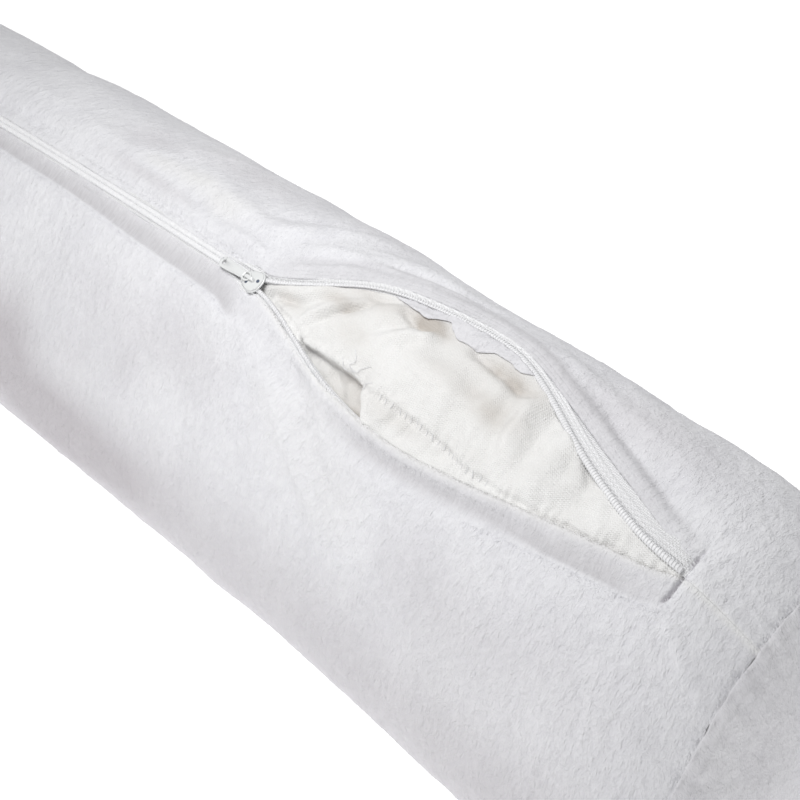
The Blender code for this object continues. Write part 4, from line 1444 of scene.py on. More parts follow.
@dataclass
class ZipChain:
    """The zip's two tapes and their nylon coils, closed behind the slider and parted past it."""

    form: PillowForm
    cover: Cover
    tape_width: float = 0.013
    tape_thickness: float = 0.0006
    tape_under_coil: float = 0.00089
    tape_under_plush: float = 0.0006
    tape_dive: float = 0.0026
    closed_depth: float = 0.0003
    hidden_depth: float = 0.0016
    hidden_shift: tuple[float, float] = (-0.0001, 0.0011)
    pitch: float = 0.00127
    wire_radius: float = 0.0003
    half_width: float = 0.00122
    half_height: float = 0.0005
    turn_points: int = 10
    wire_sides: int = 5
    cord_lines: tuple[float, ...] = (0.0032, 0.0045, 0.006)
    cord_height: float = 0.0008
    edge_wave: float = 0.00012
    inside_coil: float = 0.0009
    past_end: float = 0.006
    hidden_narrowing: float = 0.34
    core_share: float = 0.94
    core_flatness: float = 0.46

    def under_cover(self, x: Array, s: Array) -> Array:
        """Height of the main folds and the free edges' lift, which the zip follows."""
        return self.form.relief(x, s) + self.cover.lift(x, s)

    def line(self, x: Array, side: Side) -> Array:
        """Arc from the zip line to the middle of a coil, further out where the front plush folds over it."""
        shift = blend(*self.hidden_shift, ramp(x - self.form.slider_x, 0.115, 0.035))
        return self.form.coil_line(x, side) + shift * self.hidden(x, side) * self.cover.layout.zip_share(x)

    def hidden(self, x: Array, side: Side) -> Array:
        """How far the front plush has folded over a coil; the back coil always shows."""
        return self.cover.layout.hides(x) if side is Side.FRONT else 0.0 * x

    def depth(self, x: Array, side: Side) -> Array:
        """Depth of a coil's middle: shallow where it shows, under the plush where the front folds over it."""
        shown = self.closed_depth * (1.0 - smooth((x - self.form.slider_x) / 0.012))
        return blend(shown, self.hidden_depth, self.hidden(x, side))

    def tape(self, name: str, side: Side, material: Material) -> Piece:
        """One woven tape, a closed strip from just inside its coil out under the plush.

        Args:
            name: The piece's name.
            side: Which side of the zip.
            material: The woven tape.

        Returns:
            The piece.
        """
        form = self.form
        ends = form.zip_end_x + self.past_end
        xs = graded((-ends, form.slider_x - 0.02, form.zip_end_x, ends), (0.004, 0.0016, 0.002))[:, None]
        near = self.line(xs, side) - self.inside_coil
        across = np.linspace(0.0, 1.0, 45)[None, :]
        width = near + self.tape_width * across
        s = side.value * out_and_back(width, width)
        beat = xs / 0.004 + 3 * lattice_noise(xs / 0.02, 0 * xs, 51)
        wave = self.edge_wave * np.sin(beat) * bell(across - 1.0, 0.5)
        for line in self.cord_lines:
            wave = wave + self.cord_height * bell(width - near - line, 0.00045)
        shown = self.cover.layout.edge(xs, side) - self.line(xs, side)
        slope = smooth((width - near - 0.0014) / np.maximum(shown, 0.0008))
        top_depth = self.depth(xs, side) + self.tape_under_coil
        kept = 0.0011 + 0.0016 * (side is Side.BACK) * ramp(xs - form.slider_x, 0.01, 0.02)
        under = smooth((width - near - kept - shown) / 0.0035)
        top = wave * (1.0 - under) - blend(top_depth, self.tape_under_plush, slope) - self.tape_dive * under
        rise = self.under_cover(xs, s) + out_and_back(top, top - self.tape_thickness)
        points = form.skin(xs, s, rise).reshape(-1, 3)
        flat = np.stack([xs + 0 * s, np.abs(s)], axis=-1).reshape(-1, 2)
        return Surface(points, strip_faces(*s.shape), flat).piece(name, material)

    def coil_middle(self, xs: Array, side: Side) -> Array:
        """Points along the middle of a coil."""
        s = side.value * self.line(xs, side)
        return self.form.skin(xs, s, self.under_cover(xs, s) - self.depth(xs, side))

    def coil(self, name: str, side: Side, material: Material) -> Piece:
        """One nylon coil: a flattened helix of round wire about its middle line, with a cord inside.

        The helix's point is the middle's plus half the width times the cosine across and half the
        height times the sine outwards, one turn to each pitch of arc; the two coils are half a pitch
        apart so that their loops lie between each other's.

        Args:
            name: The piece's name.
            side: Which side of the zip.
            material: The nylon.

        Returns:
            The piece.
        """
        form = self.form
        start, end = -form.zip_end_x + 0.0002, form.zip_end_x - 0.0014
        dense = np.linspace(start, end, 4000)
        middle = self.coil_middle(dense, side)
        arc = np.concatenate([[0.0], np.cumsum(np.linalg.norm(np.diff(middle, axis=0), axis=1))])
        turns = int(arc[-1] / self.pitch)
        count = turns * self.turn_points + 1
        at = np.linspace(0.0, turns * self.pitch, count)
        xs = np.interp(at, arc, dense)
        s = side.value * self.line(xs, side)
        rise = self.under_cover(xs, s) - self.depth(xs, side)
        centre = form.skin(xs, s, rise)
        along = unit(np.gradient(centre, axis=0))
        out = form.outwards(xs, s)
        across = unit(np.cross(out, along))
        phase = TAU * at / self.pitch + (0.0 if side is Side.FRONT else math.pi)
        past = xs - form.slider_x
        fullness = 1.0 - self.hidden_narrowing * smooth(past / 0.008) * (1.0 - ramp(past, 0.06, 0.08))
        path = centre + across * (self.half_width * fullness * np.cos(phase))[:, None]
        path = path + out * (self.half_height * np.sin(phase))[:, None]
        forward = unit(np.gradient(path, axis=0))
        first = unit(np.cross(forward, unit(path - centre)))
        second = np.cross(forward, first)
        wire = tube(path, self.wire_radius, self.wire_sides, first, second)
        sparse = slice(None, None, 12)
        radius = self.core_share * self.half_width * fullness[sparse]
        core = tube(centre[sparse], radius, 10, across[sparse], out[sparse], self.core_flatness)
        return joined([wire, core]).piece(name, material)


@dataclass
class ZipSlider:
    """The enamelled slider on the chain and its pull, lying back along the closed zip."""

    form: PillowForm
    length: float = 0.0118
    nose_width: float = 0.0108
    tail_width: float = 0.008
    plate: float = 0.001
    top_z: float = 0.0003
    bottom_z: float = -0.0045
    bridge_x: float = -0.001
    bridge_length: float = 0.0052
    bridge_height: float = 0.0021
    pull_length: float = 0.0195
    pull_width: float = 0.005
    pull_thickness: float = 0.0009
    bridge_radius: float = 0.00085
    bridge_flatness: float = 0.55
    post_x: float = 0.003
    post_radius: float = 0.0008
    pull_z: float = 0.0016
    pull_root_x: float = -0.0016
    pull_front_x: float = -0.004
    pull_dip: float = 0.0011
    eye_x: float = -0.0031
    eye_half: tuple[float, float] = (0.0023, 0.0018)
    eye_radius: float = 0.00048
    hole_radius: float = 0.00105
    ahead: float = 0.003
    aside: float = 0.0008
    # Spots of painted shadow on the top plate, either side of the bridge.
    hollow_painted_shadows: tuple[tuple[float, float], ...] = ((-0.0017, -0.0019), (0.0033, 0.0008))
    hollow_shadow_spread: float = 0.0011

    def placement(self) -> Matrix:
        """Places the slider's axes on the skin: x along the zip to the opening, z outwards."""
        x, s = np.array(self.form.slider_x + self.ahead), np.array(self.aside)
        here = Vector(self.form.skin(x, s))
        ahead = Vector(self.form.skin(x + MM, s))
        above = Vector(self.form.skin(x, s, MM))
        along = (ahead - here).normalized()
        across = (above - here).cross(along).normalized()
        out = along.cross(across)
        return Matrix.Translation(here) @ Matrix((along, across, out)).transposed().to_4x4()

    def outline(self, turn: Array) -> tuple[Array, Array]:
        """The plates' edge: a long superellipse, wide at the nose and narrower at the tail."""
        cos, sin = np.cos(turn), np.sin(turn)
        x = 0.5 * self.length * np.sign(cos) * np.abs(cos) ** 0.8
        nose = smooth((x + 0.5 * self.length) / (0.75 * self.length))
        half = 0.5 * blend(self.tail_width, self.nose_width, nose)
        return x, half * np.sign(sin) * np.abs(sin) ** 0.75

    def plate_surface(self, low: float, high: float, crown: float, flange: float) -> Surface:
        """A rounded plate: rings that shrink from its edge to its middle above and below.

        Args:
            low: Height of its lower face.
            high: Height of its upper face.
            crown: How far the middle of the outer face swells.
            flange: How far the long edges bend towards the other plate.

        Returns:
            The surface.
        """
        turn = np.linspace(0.0, TAU, 48, endpoint=False)
        edge_x, edge_y = self.outline(turn)
        half = 0.5 * (high - low)
        lap = np.linspace(-math.pi / 2, math.pi / 2, 9)
        inward = np.arange(0.92, 0.05, -0.07)
        share = np.concatenate([[0.25, 0.6, 0.88], 1.0 - half / 0.004 * (1 - np.cos(lap)), inward])[:, None]
        side = 0.5 * (low + high) + half * np.sin(lap)
        z = np.concatenate([[low] * 3, side, high + crown * (1 - inward**2)])
        bend = flange * ramp(np.abs(edge_y), 0.0024, 0.0014) * smooth((0.003 - edge_x) / 0.002)
        rings = np.stack([edge_x * share, edge_y * share, z[:, None] - bend * share**6], axis=-1)
        points = np.concatenate([rings.reshape(-1, 3), [[0, 0, low]], [[0, 0, high + crown]]])
        return Surface(points, closed_faces(len(share), len(turn)))

    def arch(self) -> Surface:
        """The bridge: an oval bar carried up, along and down over the top plate."""
        turn = math.pi * (1 - np.linspace(0.0, 1.0, 25))
        cos, sin = np.cos(turn), np.sin(turn)
        x = self.bridge_x + 0.5 * self.bridge_length * np.sign(cos) * np.abs(cos) ** 0.6
        z = self.top_z + 0.0004 + self.bridge_height * np.abs(sin) ** 0.55
        path = np.stack([x, 0 * x, z], axis=1)
        forward = unit(np.gradient(path, axis=0))
        across = np.tile([0.0, 1.0, 0.0], (len(path), 1))
        upward = unit(np.cross(forward, across))
        return tube(path, self.bridge_radius, 12, across, upward, self.bridge_flatness)

    def post(self) -> Surface:
        """The post that joins the two plates at the nose."""
        z = np.linspace(self.bottom_z + 0.0004, self.top_z + 0.0004, 6)
        path = np.stack([self.post_x + 0 * z, 0 * z, z], axis=1)
        return tube(path, self.post_radius, 14, np.tile([1.0, 0, 0], (6, 1)), np.tile([0, 1.0, 0], (6, 1)))

    def pull_surface(self) -> Surface:
        """The flat tab with a round hole near its tip, as rings from the hole's edge to the tab's.

        Each ring is a blend of a circle round the hole and the tab's outline, and the thickness is
        rounded at both edges.
        """
        turn = np.linspace(0.0, TAU, 96, endpoint=False)
        half = 0.5 * self.pull_width
        tip_x = self.pull_root_x - self.pull_length + half
        cos, sin = np.cos(turn), np.sin(turn)
        front = self.pull_front_x - tip_x
        reach = np.minimum(front / np.maximum(cos, 1e-3), half / np.maximum(np.abs(sin), 1e-3))
        run = np.hypot(np.minimum(reach * cos, front), 1e-9)
        radius = np.where(cos > 0, run / np.maximum(cos, 1e-3), half)
        taper = 1.0 - 0.22 * smooth(radius * cos / front)
        edge = np.stack([tip_x + radius * cos, radius * sin * np.where(cos > 0, taper, 1.0)], axis=1)
        inner = np.stack([tip_x + self.hole_radius * cos, self.hole_radius * sin], axis=1)
        thick = 0.5 * self.pull_thickness
        share = np.array([0.0, 0.02, 0.5, 0.93, 0.985, 1.0, 0.985, 0.93, 0.5, 0.02])
        z = thick * np.array([0.0, -1.0, -1.0, -1.0, -0.6, 0.0, 0.6, 1.0, 1.0, 1.0])
        x, y = np.moveaxis(blend(inner, edge, share[:, None, None]), -1, 0)
        dip = self.pull_dip * ramp(-x, 0.006, 0.012)
        points = np.stack([x, y, self.pull_z + thick + z[:, None] - dip], axis=-1).reshape(-1, 3)
        return Surface(points, [grid_faces(len(share), len(turn), round_rows=True, round_columns=True)])

    def eye(self) -> Surface:
        """The pull's eye: an oval ring through the bridge, joined to the tab's root."""
        turn = np.linspace(0.0, TAU, 33)
        outward = np.stack([np.cos(turn), np.sin(turn), 0 * turn], axis=1)
        path = outward * (*self.eye_half, 0.0) + (self.eye_x, 0.0, self.pull_z + 0.5 * self.pull_thickness)
        return tube(path, self.eye_radius, 10, outward, np.tile([0.0, 0.0, 1.0], (len(turn), 1)), 0.9)

    def build(self, material: Material) -> tuple[Piece, Piece]:
        """Makes the slider and the pull in their place.

        Args:
            material: The enamel.

        Returns:
            The slider and the pull.
        """
        body = joined([
            self.plate_surface(self.top_z, self.top_z + self.plate, 0.0003, 0.0012),
            self.plate_surface(self.bottom_z, self.bottom_z + self.plate * 0.8, 0.0, 0.0),
            self.arch(),
            self.post(),
        ])
        pull = joined([self.pull_surface(), self.eye()])
        x, y, z = body.points.T
        # Painted shadow in the hollows under the bridge, on the top plate only.
        hollow_painted_shadow = sum(bell(np.hypot(x - at_x, y - at_y), self.hollow_shadow_spread) for at_x, at_y in self.hollow_painted_shadows)
        body.values = {"nap_and_painted_shading": hollow_painted_shadow * (z < self.top_z + self.plate + 0.0005)}
        pull.values = {"nap_and_painted_shading": np.zeros(len(pull.points))}
        place = np.array(self.placement())
        made = []
        for name, surface in (("slider_enamel", body), ("pull_enamel", pull)):
            surface.points = surface.points @ place[:3, :3].T + place[:3, 3]
            made.append(surface.piece(name, material))
        return made[0], made[1]


class NodeKit:
    """Short calls for building a shader's node tree."""

    def __init__(self, tree: Tree) -> None:
        """Keeps the tree that the nodes go into."""
        self.tree = tree

    def feed(self, target: Socket, value: object) -> None:
        """Sets an input to a number or colour, or links an output to it."""
        if isinstance(value, Socket):
            self.tree.links.new(value, target)
        else:
            target.default_value = value

    def fill(self, node: bpy.types.Node, inputs: dict[str | int, object]) -> None:
        """Feeds a node's inputs by name or number."""
        for key, value in inputs.items():
            self.feed(node.inputs[key], value)

    def add(self, kind: str, inputs: dict[str | int, object], **settings: object) -> bpy.types.Node:
        """Adds a node, sets its properties and feeds its inputs."""
        node = self.tree.nodes.new(kind)
        for name, value in settings.items():
            setattr(node, name, value)
        self.fill(node, inputs)
        return node

    def place(self) -> Socket:
        """Object coordinates."""
        return self.add("ShaderNodeTexCoord", {}).outputs["Object"]

    def flat(self) -> Socket:
        """The piece's flat coordinates."""
        return self.add("ShaderNodeUVMap", {}, uv_map="flat").outputs["UV"]

    def attribute(self, name: str) -> Socket:
        """A value stored on the piece's points."""
        return self.add("ShaderNodeAttribute", {}, attribute_name=name).outputs["Fac"]

    def math(self, operation: str, a: object, b: object = 0.0, clamp: bool = False) -> Socket:
        """A Math node's result."""
        return self.add("ShaderNodeMath", {0: a, 1: b}, operation=operation, use_clamp=clamp).outputs[0]

    def times(self, a: object, b: object, clamp: bool = False) -> Socket:
        """The product of two values."""
        return self.math("MULTIPLY", a, b, clamp)

    def plus(self, a: object, b: object, clamp: bool = False) -> Socket:
        """The sum of two values."""
        return self.math("ADD", a, b, clamp)

    def noise(self, vector: Socket, scale: float, detail: float = 2.0, rough: float = 0.5) -> Socket:
        """A Noise texture's value."""
        inputs = {"Vector": vector, "Scale": scale, "Detail": detail, "Roughness": rough}
        return self.add("ShaderNodeTexNoise", inputs).outputs["Fac"]

    def stretch(self, vector: Socket, scale: tuple[float, float, float], turn_deg: float = 0.0) -> Socket:
        """The vector through a Mapping node."""
        inputs = {"Vector": vector, "Scale": scale, "Rotation": (0.0, 0.0, math.radians(turn_deg))}
        return self.add("ShaderNodeMapping", inputs).outputs["Vector"]

    def mix(self, share: object, a: object, b: object) -> Socket:
        """A colour between a and b."""
        return self.add("ShaderNodeMix", {"Factor": share, 6: a, 7: b}, data_type="RGBA").outputs[2]

    def span(self, value: Socket, low: float, high: float, to_low: float = 0.0,
             to_high: float = 1.0) -> Socket:
        """The value moved smoothly from one range to another."""
        inputs = dict(enumerate((value, low, high, to_low, to_high)))
        return self.add("ShaderNodeMapRange", inputs, interpolation_type="SMOOTHSTEP").outputs[0]

    def contrast(self, value: Socket) -> Socket:
        """The value's middle range, 0.3 to 0.7, moved to 0 to 1."""
        return self.span(value, 0.3, 0.7)

    def bump(self, height: Socket, distance: float, strength: float, normal: Socket | None = None) -> Socket:
        """A Bump node's normal, on top of another one where it is given."""
        inputs = {"Distance": distance, "Strength": strength, "Height": height}
        if normal is not None:
            inputs["Normal"] = normal
        return self.add("ShaderNodeBump", inputs).outputs["Normal"]

    def woven(self, weave: Tree, flat: Socket, threads: float, uneven: float) -> tuple[Socket, Socket]:
        """Height and shade of the plain weave."""
        inputs = {"Flat": flat, "Threads": threads, "Unevenness": uneven}
        node = self.add("ShaderNodeGroup", inputs, node_tree=weave)
        return node.outputs["Height"], node.outputs["Shade"]


def new_material(name: str) -> tuple[Material, NodeKit, bpy.types.Node]:
    """A material with its kit and its Principled shader."""
    material = bpy.data.materials.new(name)
    material.use_nodes = True
    return material, NodeKit(material.node_tree), material.node_tree.nodes["Principled BSDF"]


def weave_group() -> Tree:
    """A plain weave in flat coordinates: crossed rounded threads, each lifted where it passes over.

    The height is the greater of two sines, one along each thread direction, each taken only on the
    squares where that thread lies on top.

    Returns:
        The group, with inputs Flat, Threads, Unevenness, and outputs Height and Shade.
    """
    group = bpy.data.node_groups.new("plain_weave", "ShaderNodeTree")
    for name, way, kind in (
        ("Flat", "INPUT", "Vector"), ("Threads", "INPUT", "Float"), ("Unevenness", "INPUT", "Float"),
        ("Height", "OUTPUT", "Float"), ("Shade", "OUTPUT", "Float"),
    ):
        group.interface.new_socket(name, in_out=way, socket_type=f"NodeSocket{kind}")
    kit = NodeKit(group)
    source, result = kit.add("NodeGroupInput", {}), kit.add("NodeGroupOutput", {})
    flat, threads, unevenness = source.outputs[:3]
    split = kit.add("ShaderNodeSeparateXYZ", {0: flat})
    wander = kit.times(kit.math("SUBTRACT", kit.noise(flat, 260.0), 0.5), unevenness)
    lines = [kit.plus(kit.times(split.outputs[axis], threads), wander) for axis in (0, 1)]
    waves = [kit.math("ABSOLUTE", kit.math("SINE", kit.times(line, math.pi))) for line in lines]
    over = kit.math("PINGPONG", kit.plus(*(kit.math("FLOOR", line) for line in lines)), 1.0)
    under = kit.math("SUBTRACT", 1.0, over)
    height = kit.math("MAXIMUM", kit.times(waves[0], over), kit.times(waves[1], under))
    kit.fill(result, {"Height": height, "Shade": kit.plus(kit.times(height, 0.5), 0.5)})
    return group


@dataclass(frozen=True)
class PlushFinish:
    """White short-pile plush: mottled pile, brushed tufts, fine lying fibres, flatter where stitched down,
    with painted shade and highlight from its shading values.
    """

    light: Colour = (0.89, 0.89, 0.912, 1.0)
    shade: Colour = (0.77, 0.766, 0.8, 1.0)
    pressed: Colour = (0.61, 0.598, 0.618, 1.0)
    # The next two colours are painted shade and painted highlight, mixed in by the shading values.
    painted_shade: Colour = (0.61, 0.585, 0.61, 1.0)
    painted_highlight: Colour = (0.9, 0.893, 0.87, 1.0)
    seam: Colour = (0.93, 0.93, 0.93, 1.0)
    patch_scale: float = 26.0
    tuft_scale: float = 330.0
    streak_scale: float = 900.0
    fibre_scale: float = 1500.0
    tuft_depth: float = 0.0017
    fibre_depth: float = 0.00055
    stitch_rows: tuple[float, float] = (1.7, 3.4)

    def with_painted_shading(self, kit: NodeKit, colour: Socket) -> Socket:
        """The colour, with painted shade where the shading value is above 0 and painted highlight where it is
        below.
        """
        nap_and_painted_shading = kit.attribute("nap_and_painted_shading")
        colour = kit.mix(kit.times(nap_and_painted_shading, 0.9, clamp=True), colour, self.painted_shade)
        return kit.mix(kit.times(nap_and_painted_shading, -0.8, clamp=True), colour, self.painted_highlight)

    def build(self) -> Material:
        """Makes the material on the piece's flat coordinates and Object coordinates."""
        material, kit, shader = new_material("plush")
        place, flat = kit.place(), kit.flat()
        flattened, seam, from_edge = (kit.attribute(name) for name in ("flattened", "seam", "from_edge"))
        clouds = kit.noise(place, self.patch_scale, 3.0, 0.55)
        tufts = kit.noise(kit.stretch(flat, (1.0, 0.5, 1.0), 12.0), self.tuft_scale, 3.0, 0.6)
        streaks = kit.noise(kit.stretch(flat, (1.0, 0.16, 1.0)), self.streak_scale, 2.0, 0.6)
        drift = kit.add("ShaderNodeTexNoise", {"Vector": place, "Scale": 90.0}).outputs["Color"]
        lying = {0: drift, 1: (0.004, 0.004, 0.0), 2: kit.stretch(flat, (1.0, 0.42, 1.0), 16.0)}
        warp = kit.add("ShaderNodeVectorMath", lying, operation="MULTIPLY_ADD").outputs[0]
        fibres = kit.noise(warp, self.fibre_scale, 3.0, 0.7)

        mottle = kit.times(kit.span(clouds, 0.32, 0.68), 0.4)
        tone = kit.plus(mottle, kit.times(kit.contrast(tufts), 0.36))
        tone = kit.plus(tone, kit.times(kit.contrast(fibres), 0.34), clamp=True)
        pressed = kit.times(flattened, kit.span(streaks, 0.3, 0.7, 0.95, 0.7))
        colour = kit.mix(pressed, kit.mix(tone, self.shade, self.light), self.pressed)
        # Painted shade and highlight from the shading values, then the light seam line.
        colour = kit.mix(kit.times(seam, 0.8), self.with_painted_shading(kit, colour), self.seam)

        loose = kit.math("SUBTRACT", 1.0, kit.times(flattened, 0.5))
        coarse = kit.times(kit.plus(tufts, kit.times(clouds, 0.3)), loose)
        coarse = kit.plus(coarse, kit.times(kit.times(streaks, flattened), 0.12))
        for row in self.stitch_rows:
            off = kit.math("ABSOLUTE", kit.math("SUBTRACT", from_edge, row))
            coarse = kit.math("SUBTRACT", coarse, kit.span(off, 0.0, 0.6, 0.08, 0.0))
        normal = kit.bump(fibres, self.fibre_depth, 0.9, kit.bump(coarse, self.tuft_depth, 0.85))
        kit.fill(shader, {
            "Base Color": colour, "Normal": normal, "Roughness": 0.95, "Specular IOR Level": 0.12,
            "Sheen Weight": 0.12, "Sheen Roughness": 0.5,
        })
        return material

    def fibre(self) -> Material:
        """Makes the loose fibres' material: the same tones in finer grain, with the same painted shade and
        highlight.
        """
        material, kit, shader = new_material("plush_fibre")
        tone = kit.contrast(kit.noise(kit.place(), 300.0, 3.0, 0.6))
        colour = self.with_painted_shading(kit, kit.mix(tone, self.shade, self.light))
        kit.fill(shader, {"Base Color": colour, "Roughness": 0.9, "Specular IOR Level": 0.15})
        return material


@dataclass(frozen=True)
class SatinFinish:
    """Warm white brushed satin with a fine plain weave, and painted shadow from its shading values."""

    light: Colour = (0.945, 0.941, 0.932, 1.0)
    shade: Colour = (0.85, 0.84, 0.824, 1.0)
    # Colour of the painted shadow.
    painted_shadow: Colour = (0.6, 0.556, 0.51, 1.0)
    threads: float = 1500.0
    turn_deg: float = 38.0

    def build(self, weave: Tree) -> Material:
        """Makes the material on the piece's flat coordinates."""
        material, kit, shader = new_material("satin")
        flat, place = kit.flat(), kit.place()
        height, woven = kit.woven(weave, kit.stretch(flat, (1.0, 1.0, 1.0), self.turn_deg), self.threads, 0.5)
        cloud = kit.contrast(kit.noise(place, 60.0, 3.0))
        brushed = kit.noise(kit.stretch(flat, (1.0, 0.25, 1.0), self.turn_deg), 1400.0, 3.0, 0.6)
        tone = kit.plus(kit.times(cloud, 0.45), kit.times(woven, 0.25))
        tone = kit.plus(tone, kit.times(kit.contrast(brushed), 0.3))
        # Painted shadow from the shading values, broken up by the cloud.
        painted_shadow = kit.times(kit.attribute("nap_and_painted_shading"), kit.span(cloud, 0.0, 1.0, 0.35, 0.75), clamp=True)
        normal = kit.bump(kit.noise(place, 110.0, 4.0, 0.55), 0.0026, 0.55)
        normal = kit.bump(height, 0.00022, 0.7, kit.bump(brushed, 0.0003, 0.6, normal))
        kit.fill(shader, {
            "Base Color": kit.mix(painted_shadow, kit.mix(tone, self.shade, self.light), self.painted_shadow), "Normal": normal,
            "Roughness": 0.5, "Specular IOR Level": 0.35, "Sheen Weight": 0.15, "Sheen Roughness": 0.3,
        })
        return material


@dataclass(frozen=True)
class TapeFinish:
    """White woven zip tape."""

    light: Colour = (0.93, 0.93, 0.94, 1.0)
    shade: Colour = (0.86, 0.86, 0.875, 1.0)
    threads: float = 1300.0

    def build(self, weave: Tree) -> Material:
        """Makes the material on the piece's flat coordinates."""
        material, kit, shader = new_material("zip_tape")
        height, woven = kit.woven(weave, kit.flat(), self.threads, 0.3)
        colour = kit.mix(woven, self.shade, self.light)
        kit.fill(shader, {"Base Color": colour, "Normal": kit.bump(height, 0.0003, 0.8), "Roughness": 0.8})
        return material


@dataclass(frozen=True)
class NylonFinish:
    """White semi-gloss nylon of the coils."""

    light: Colour = (0.87, 0.87, 0.88, 1.0)
    shade: Colour = (0.81, 0.81, 0.825, 1.0)

    def build(self) -> Material:
        """Makes the material on Object coordinates."""
        material, kit, shader = new_material("zip_coil")
        grain = kit.noise(kit.place(), 900.0)
        kit.fill(shader, {
            "Base Color": kit.mix(kit.contrast(grain), self.shade, self.light),
            "Roughness": kit.span(grain, 0.2, 0.8, 0.34, 0.5), "Normal": kit.bump(grain, 0.00006, 0.5),
        })
        return material


@dataclass(frozen=True)
class EnamelFinish:
    """Glossy white enamel on the slider, a little worn, with painted shadow in the hollows by its bridge, and
    fine waves that break its reflections.
    """

    light: Colour = (0.76, 0.77, 0.77, 1.0)
    # Colour of the worn spots, and of the painted shadow in the hollows.
    worn: Colour = (0.09, 0.11, 0.16, 1.0)

    def build(self) -> Material:
        """Makes the material on Object coordinates."""
        material, kit, shader = new_material("zip_enamel")
        place = kit.place()
        wear = kit.span(kit.noise(place, 520.0), 0.66, 0.7)
        # Worn spots and the painted shadow in the hollows share the dark colour.
        hollow_painted_shadow = kit.span(kit.attribute("nap_and_painted_shading"), 0.45, 0.7)
        shown = kit.math("MAXIMUM", kit.times(wear, 0.3), hollow_painted_shadow)
        kit.fill(shader, {
            "Base Color": kit.mix(shown, self.light, self.worn),
            "Roughness": kit.span(wear, 0.0, 1.0, 0.14, 0.3),
            "Normal": kit.bump(kit.noise(place, 420.0), 0.0003, 0.5),
            "Coat Weight": 0.35, "Coat Roughness": 0.06,
        })
        return material


@dataclass
class Studio:
    """White floor, soft lights and the camera at the photo's angle."""

    form: PillowForm
    turn_deg: float = 42.65
    drop_deg: float = 36.5
    focal_pixels: float = 1650.0
    slider_depth: float = 0.6735
    slider_pixel: tuple[float, float] = (250.0, 277.0)
    sensor_mm: float = 36.0
    floor_half: float = 3.0
    world_strength: float = 0.43
    key_place: tuple[float, float, float] = (0.115, -0.165, 0.55)
    key_aim: tuple[float, float, float] = (0.085, -0.035, 0.1)
    key_size: float = 0.2
    key_power: float = 1.46
    floor_glow: float = 0.62

    def camera(self) -> Piece:
        """Sets the camera so that the slider falls on its pixel of the photo, with no roll.

        Returns:
            The camera.
        """
        heading = math.pi - math.radians(self.turn_deg)
        drop = math.radians(self.drop_deg)
        level = Vector((math.cos(heading), math.sin(heading), 0.0))
        right = Vector((math.sin(heading), -math.cos(heading), 0.0))
        forward = level * math.cos(drop) - Vector((0, 0, 1)) * math.sin(drop)
        up = right.cross(forward)
        offset_x = (self.slider_pixel[0] - IMAGE_SIDE / 2) / self.focal_pixels
        offset_y = (self.slider_pixel[1] - IMAGE_SIDE / 2) / self.focal_pixels
        target = Vector(self.form.skin(np.array(self.form.slider_x), np.array(0.0)))
        data = bpy.data.cameras.new("photo_camera")
        data.sensor_width = self.sensor_mm
        data.lens = self.sensor_mm * self.focal_pixels / IMAGE_SIDE
        data.clip_start, data.clip_end = 0.01, 50.0
        camera = bpy.data.objects.new("photo_camera", data)
        turn = Matrix((right, up, -forward)).transposed()
        ray = forward + right * offset_x - up * offset_y
        camera.matrix_world = Matrix.Translation(target - ray * self.slider_depth) @ turn.to_4x4()
        bpy.context.scene.camera = link(camera)
        return camera

    def floor(self) -> Piece:
        """A white floor under the pillow, bright enough to burn out as the photo's ground does."""
        size = self.floor_half
        points = np.array([(-size, -size, 0.0), (size, -size, 0.0), (size, size, 0.0), (-size, size, 0.0)])
        material, kit, shader = new_material("white_floor")
        colour = kit.mix(kit.noise(kit.place(), 3.0), (0.94, 0.94, 0.94, 1.0), (0.96, 0.96, 0.96, 1.0))
        kit.fill(shader, {
            "Base Color": colour, "Roughness": 0.9, "Emission Color": WHITE,
            "Emission Strength": self.floor_glow,
        })
        floor = Surface(points, [np.array([[0, 1, 2, 3]])]).piece("white_floor", material)
        return floor

    def key_light(self) -> Piece:
        """A square soft light close over the pillow's front, whose light falls off along the pillow."""
        data = bpy.data.lights.new("key_light", "AREA")
        data.shape = "SQUARE"
        data.size = self.key_size
        data.energy = self.key_power
        light = bpy.data.objects.new("key_light", data)
        turn = (Vector(self.key_aim) - Vector(self.key_place)).to_track_quat("-Z", "Y").to_matrix().to_4x4()
        light.matrix_world = Matrix.Translation(self.key_place) @ turn
        return link(light)

    def build(self) -> None:
        """Sets up the whole studio."""
        self.camera()
        self.floor()
        self.key_light()
        world = bpy.data.worlds.new("studio")
        world.use_nodes = True
        tree = world.node_tree
        NodeKit(tree).fill(tree.nodes["Background"], {"Color": WHITE, "Strength": self.world_strength})
        bpy.context.scene.world = world
        bpy.context.scene.view_settings.view_transform = "Standard"
        bpy.context.scene.view_settings.look = "None"


def centring_shift(form: PillowForm) -> float:
    """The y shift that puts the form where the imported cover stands."""
    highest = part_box("cover_wrap")[1][1]
    return float(highest - (form.base_edge_offset + form.base_edge_radius + form.bow))


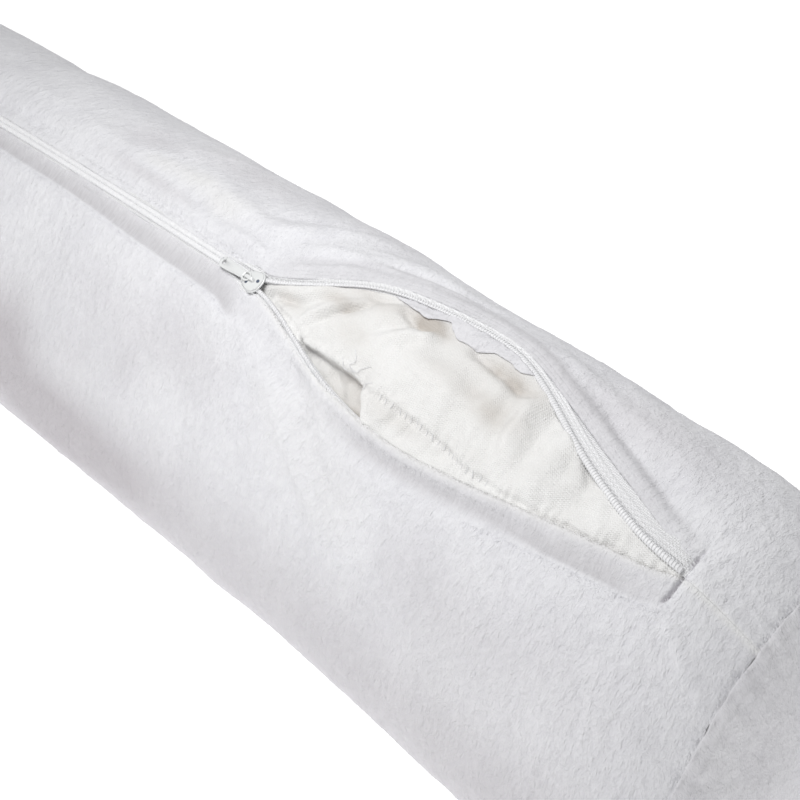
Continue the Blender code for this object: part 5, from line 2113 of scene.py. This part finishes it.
def add(piece: Piece) -> None:
    """Fixes a piece to the pillow's one body and reports it."""
    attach(piece, ROOT_BODY)
    LOG.info("%s: %d points, %d faces", piece.name, len(piece.data.vertices), len(piece.data.polygons))


def dress(piece: Piece, node: str) -> None:
    """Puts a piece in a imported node's place."""
    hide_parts(node)
    add(piece)


def main() -> None:
    """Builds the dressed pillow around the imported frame."""
    logging.basicConfig(level=logging.INFO, format="%(name)s: %(message)s")
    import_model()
    form = PillowForm()
    form.shift_y = centring_shift(form)
    LOG.info("centring shift %.2f mm", form.shift_y / MM)
    Studio(form).build()
    layout = CoverLayout(form)
    weave = weave_group()
    plush, fibre = PlushFinish().build(), PlushFinish().fibre()
    satin = SatinFinish().build(weave)
    tape = TapeFinish().build(weave)
    nylon = NylonFinish().build()
    enamel = EnamelFinish().build()

    maker = Cover(form, layout)
    cover = maker.build(plush)
    near_panel = EndPanel(form, maker, 1).build("near_end_plush", plush)
    far_panel = EndPanel(form, maker, -1).build("far_end_plush", plush)
    pillow = InnerPillow(form, layout)
    inner = pillow.build(satin)
    raw_edge = RawEdge(form, maker, pillow).build(plush)
    thread = ClosingThread(form, pillow).build(nylon)
    pile = Pile(form, maker)
    fibres = [
        pile.lips(Side.FRONT, "front_lip_pile", fibre),
        pile.lips(Side.BACK, "back_lip_pile", fibre),
        pile.ledges("ledge_pile", fibre),
        pile.slopes("slope_pile", fibre),
    ]
    chain = ZipChain(form, maker)
    front_tape = chain.tape("front_tape_woven", Side.FRONT, tape)
    back_tape = chain.tape("back_tape_woven", Side.BACK, tape)
    front_coil = chain.coil("front_coil_nylon", Side.FRONT, nylon)
    back_coil = chain.coil("back_coil_nylon", Side.BACK, nylon)
    slider, pull = ZipSlider(form).build(enamel)

    dress(cover, "cover_wrap")
    for piece in (raw_edge, *fibres):
        add(piece)
    add(thread)
    dress(near_panel, "end_panel_near")
    dress(far_panel, "end_panel_far")
    dress(inner, "inner_pillow")
    dress(front_tape, "zip_tape_front")
    dress(back_tape, "zip_tape_back")
    dress(front_coil, "zip_coil_front")
    dress(back_coil, "zip_coil_back")
    dress(slider, "zip_slider")
    dress(pull, "zip_pull")


if __name__ == "__main__":
    main()
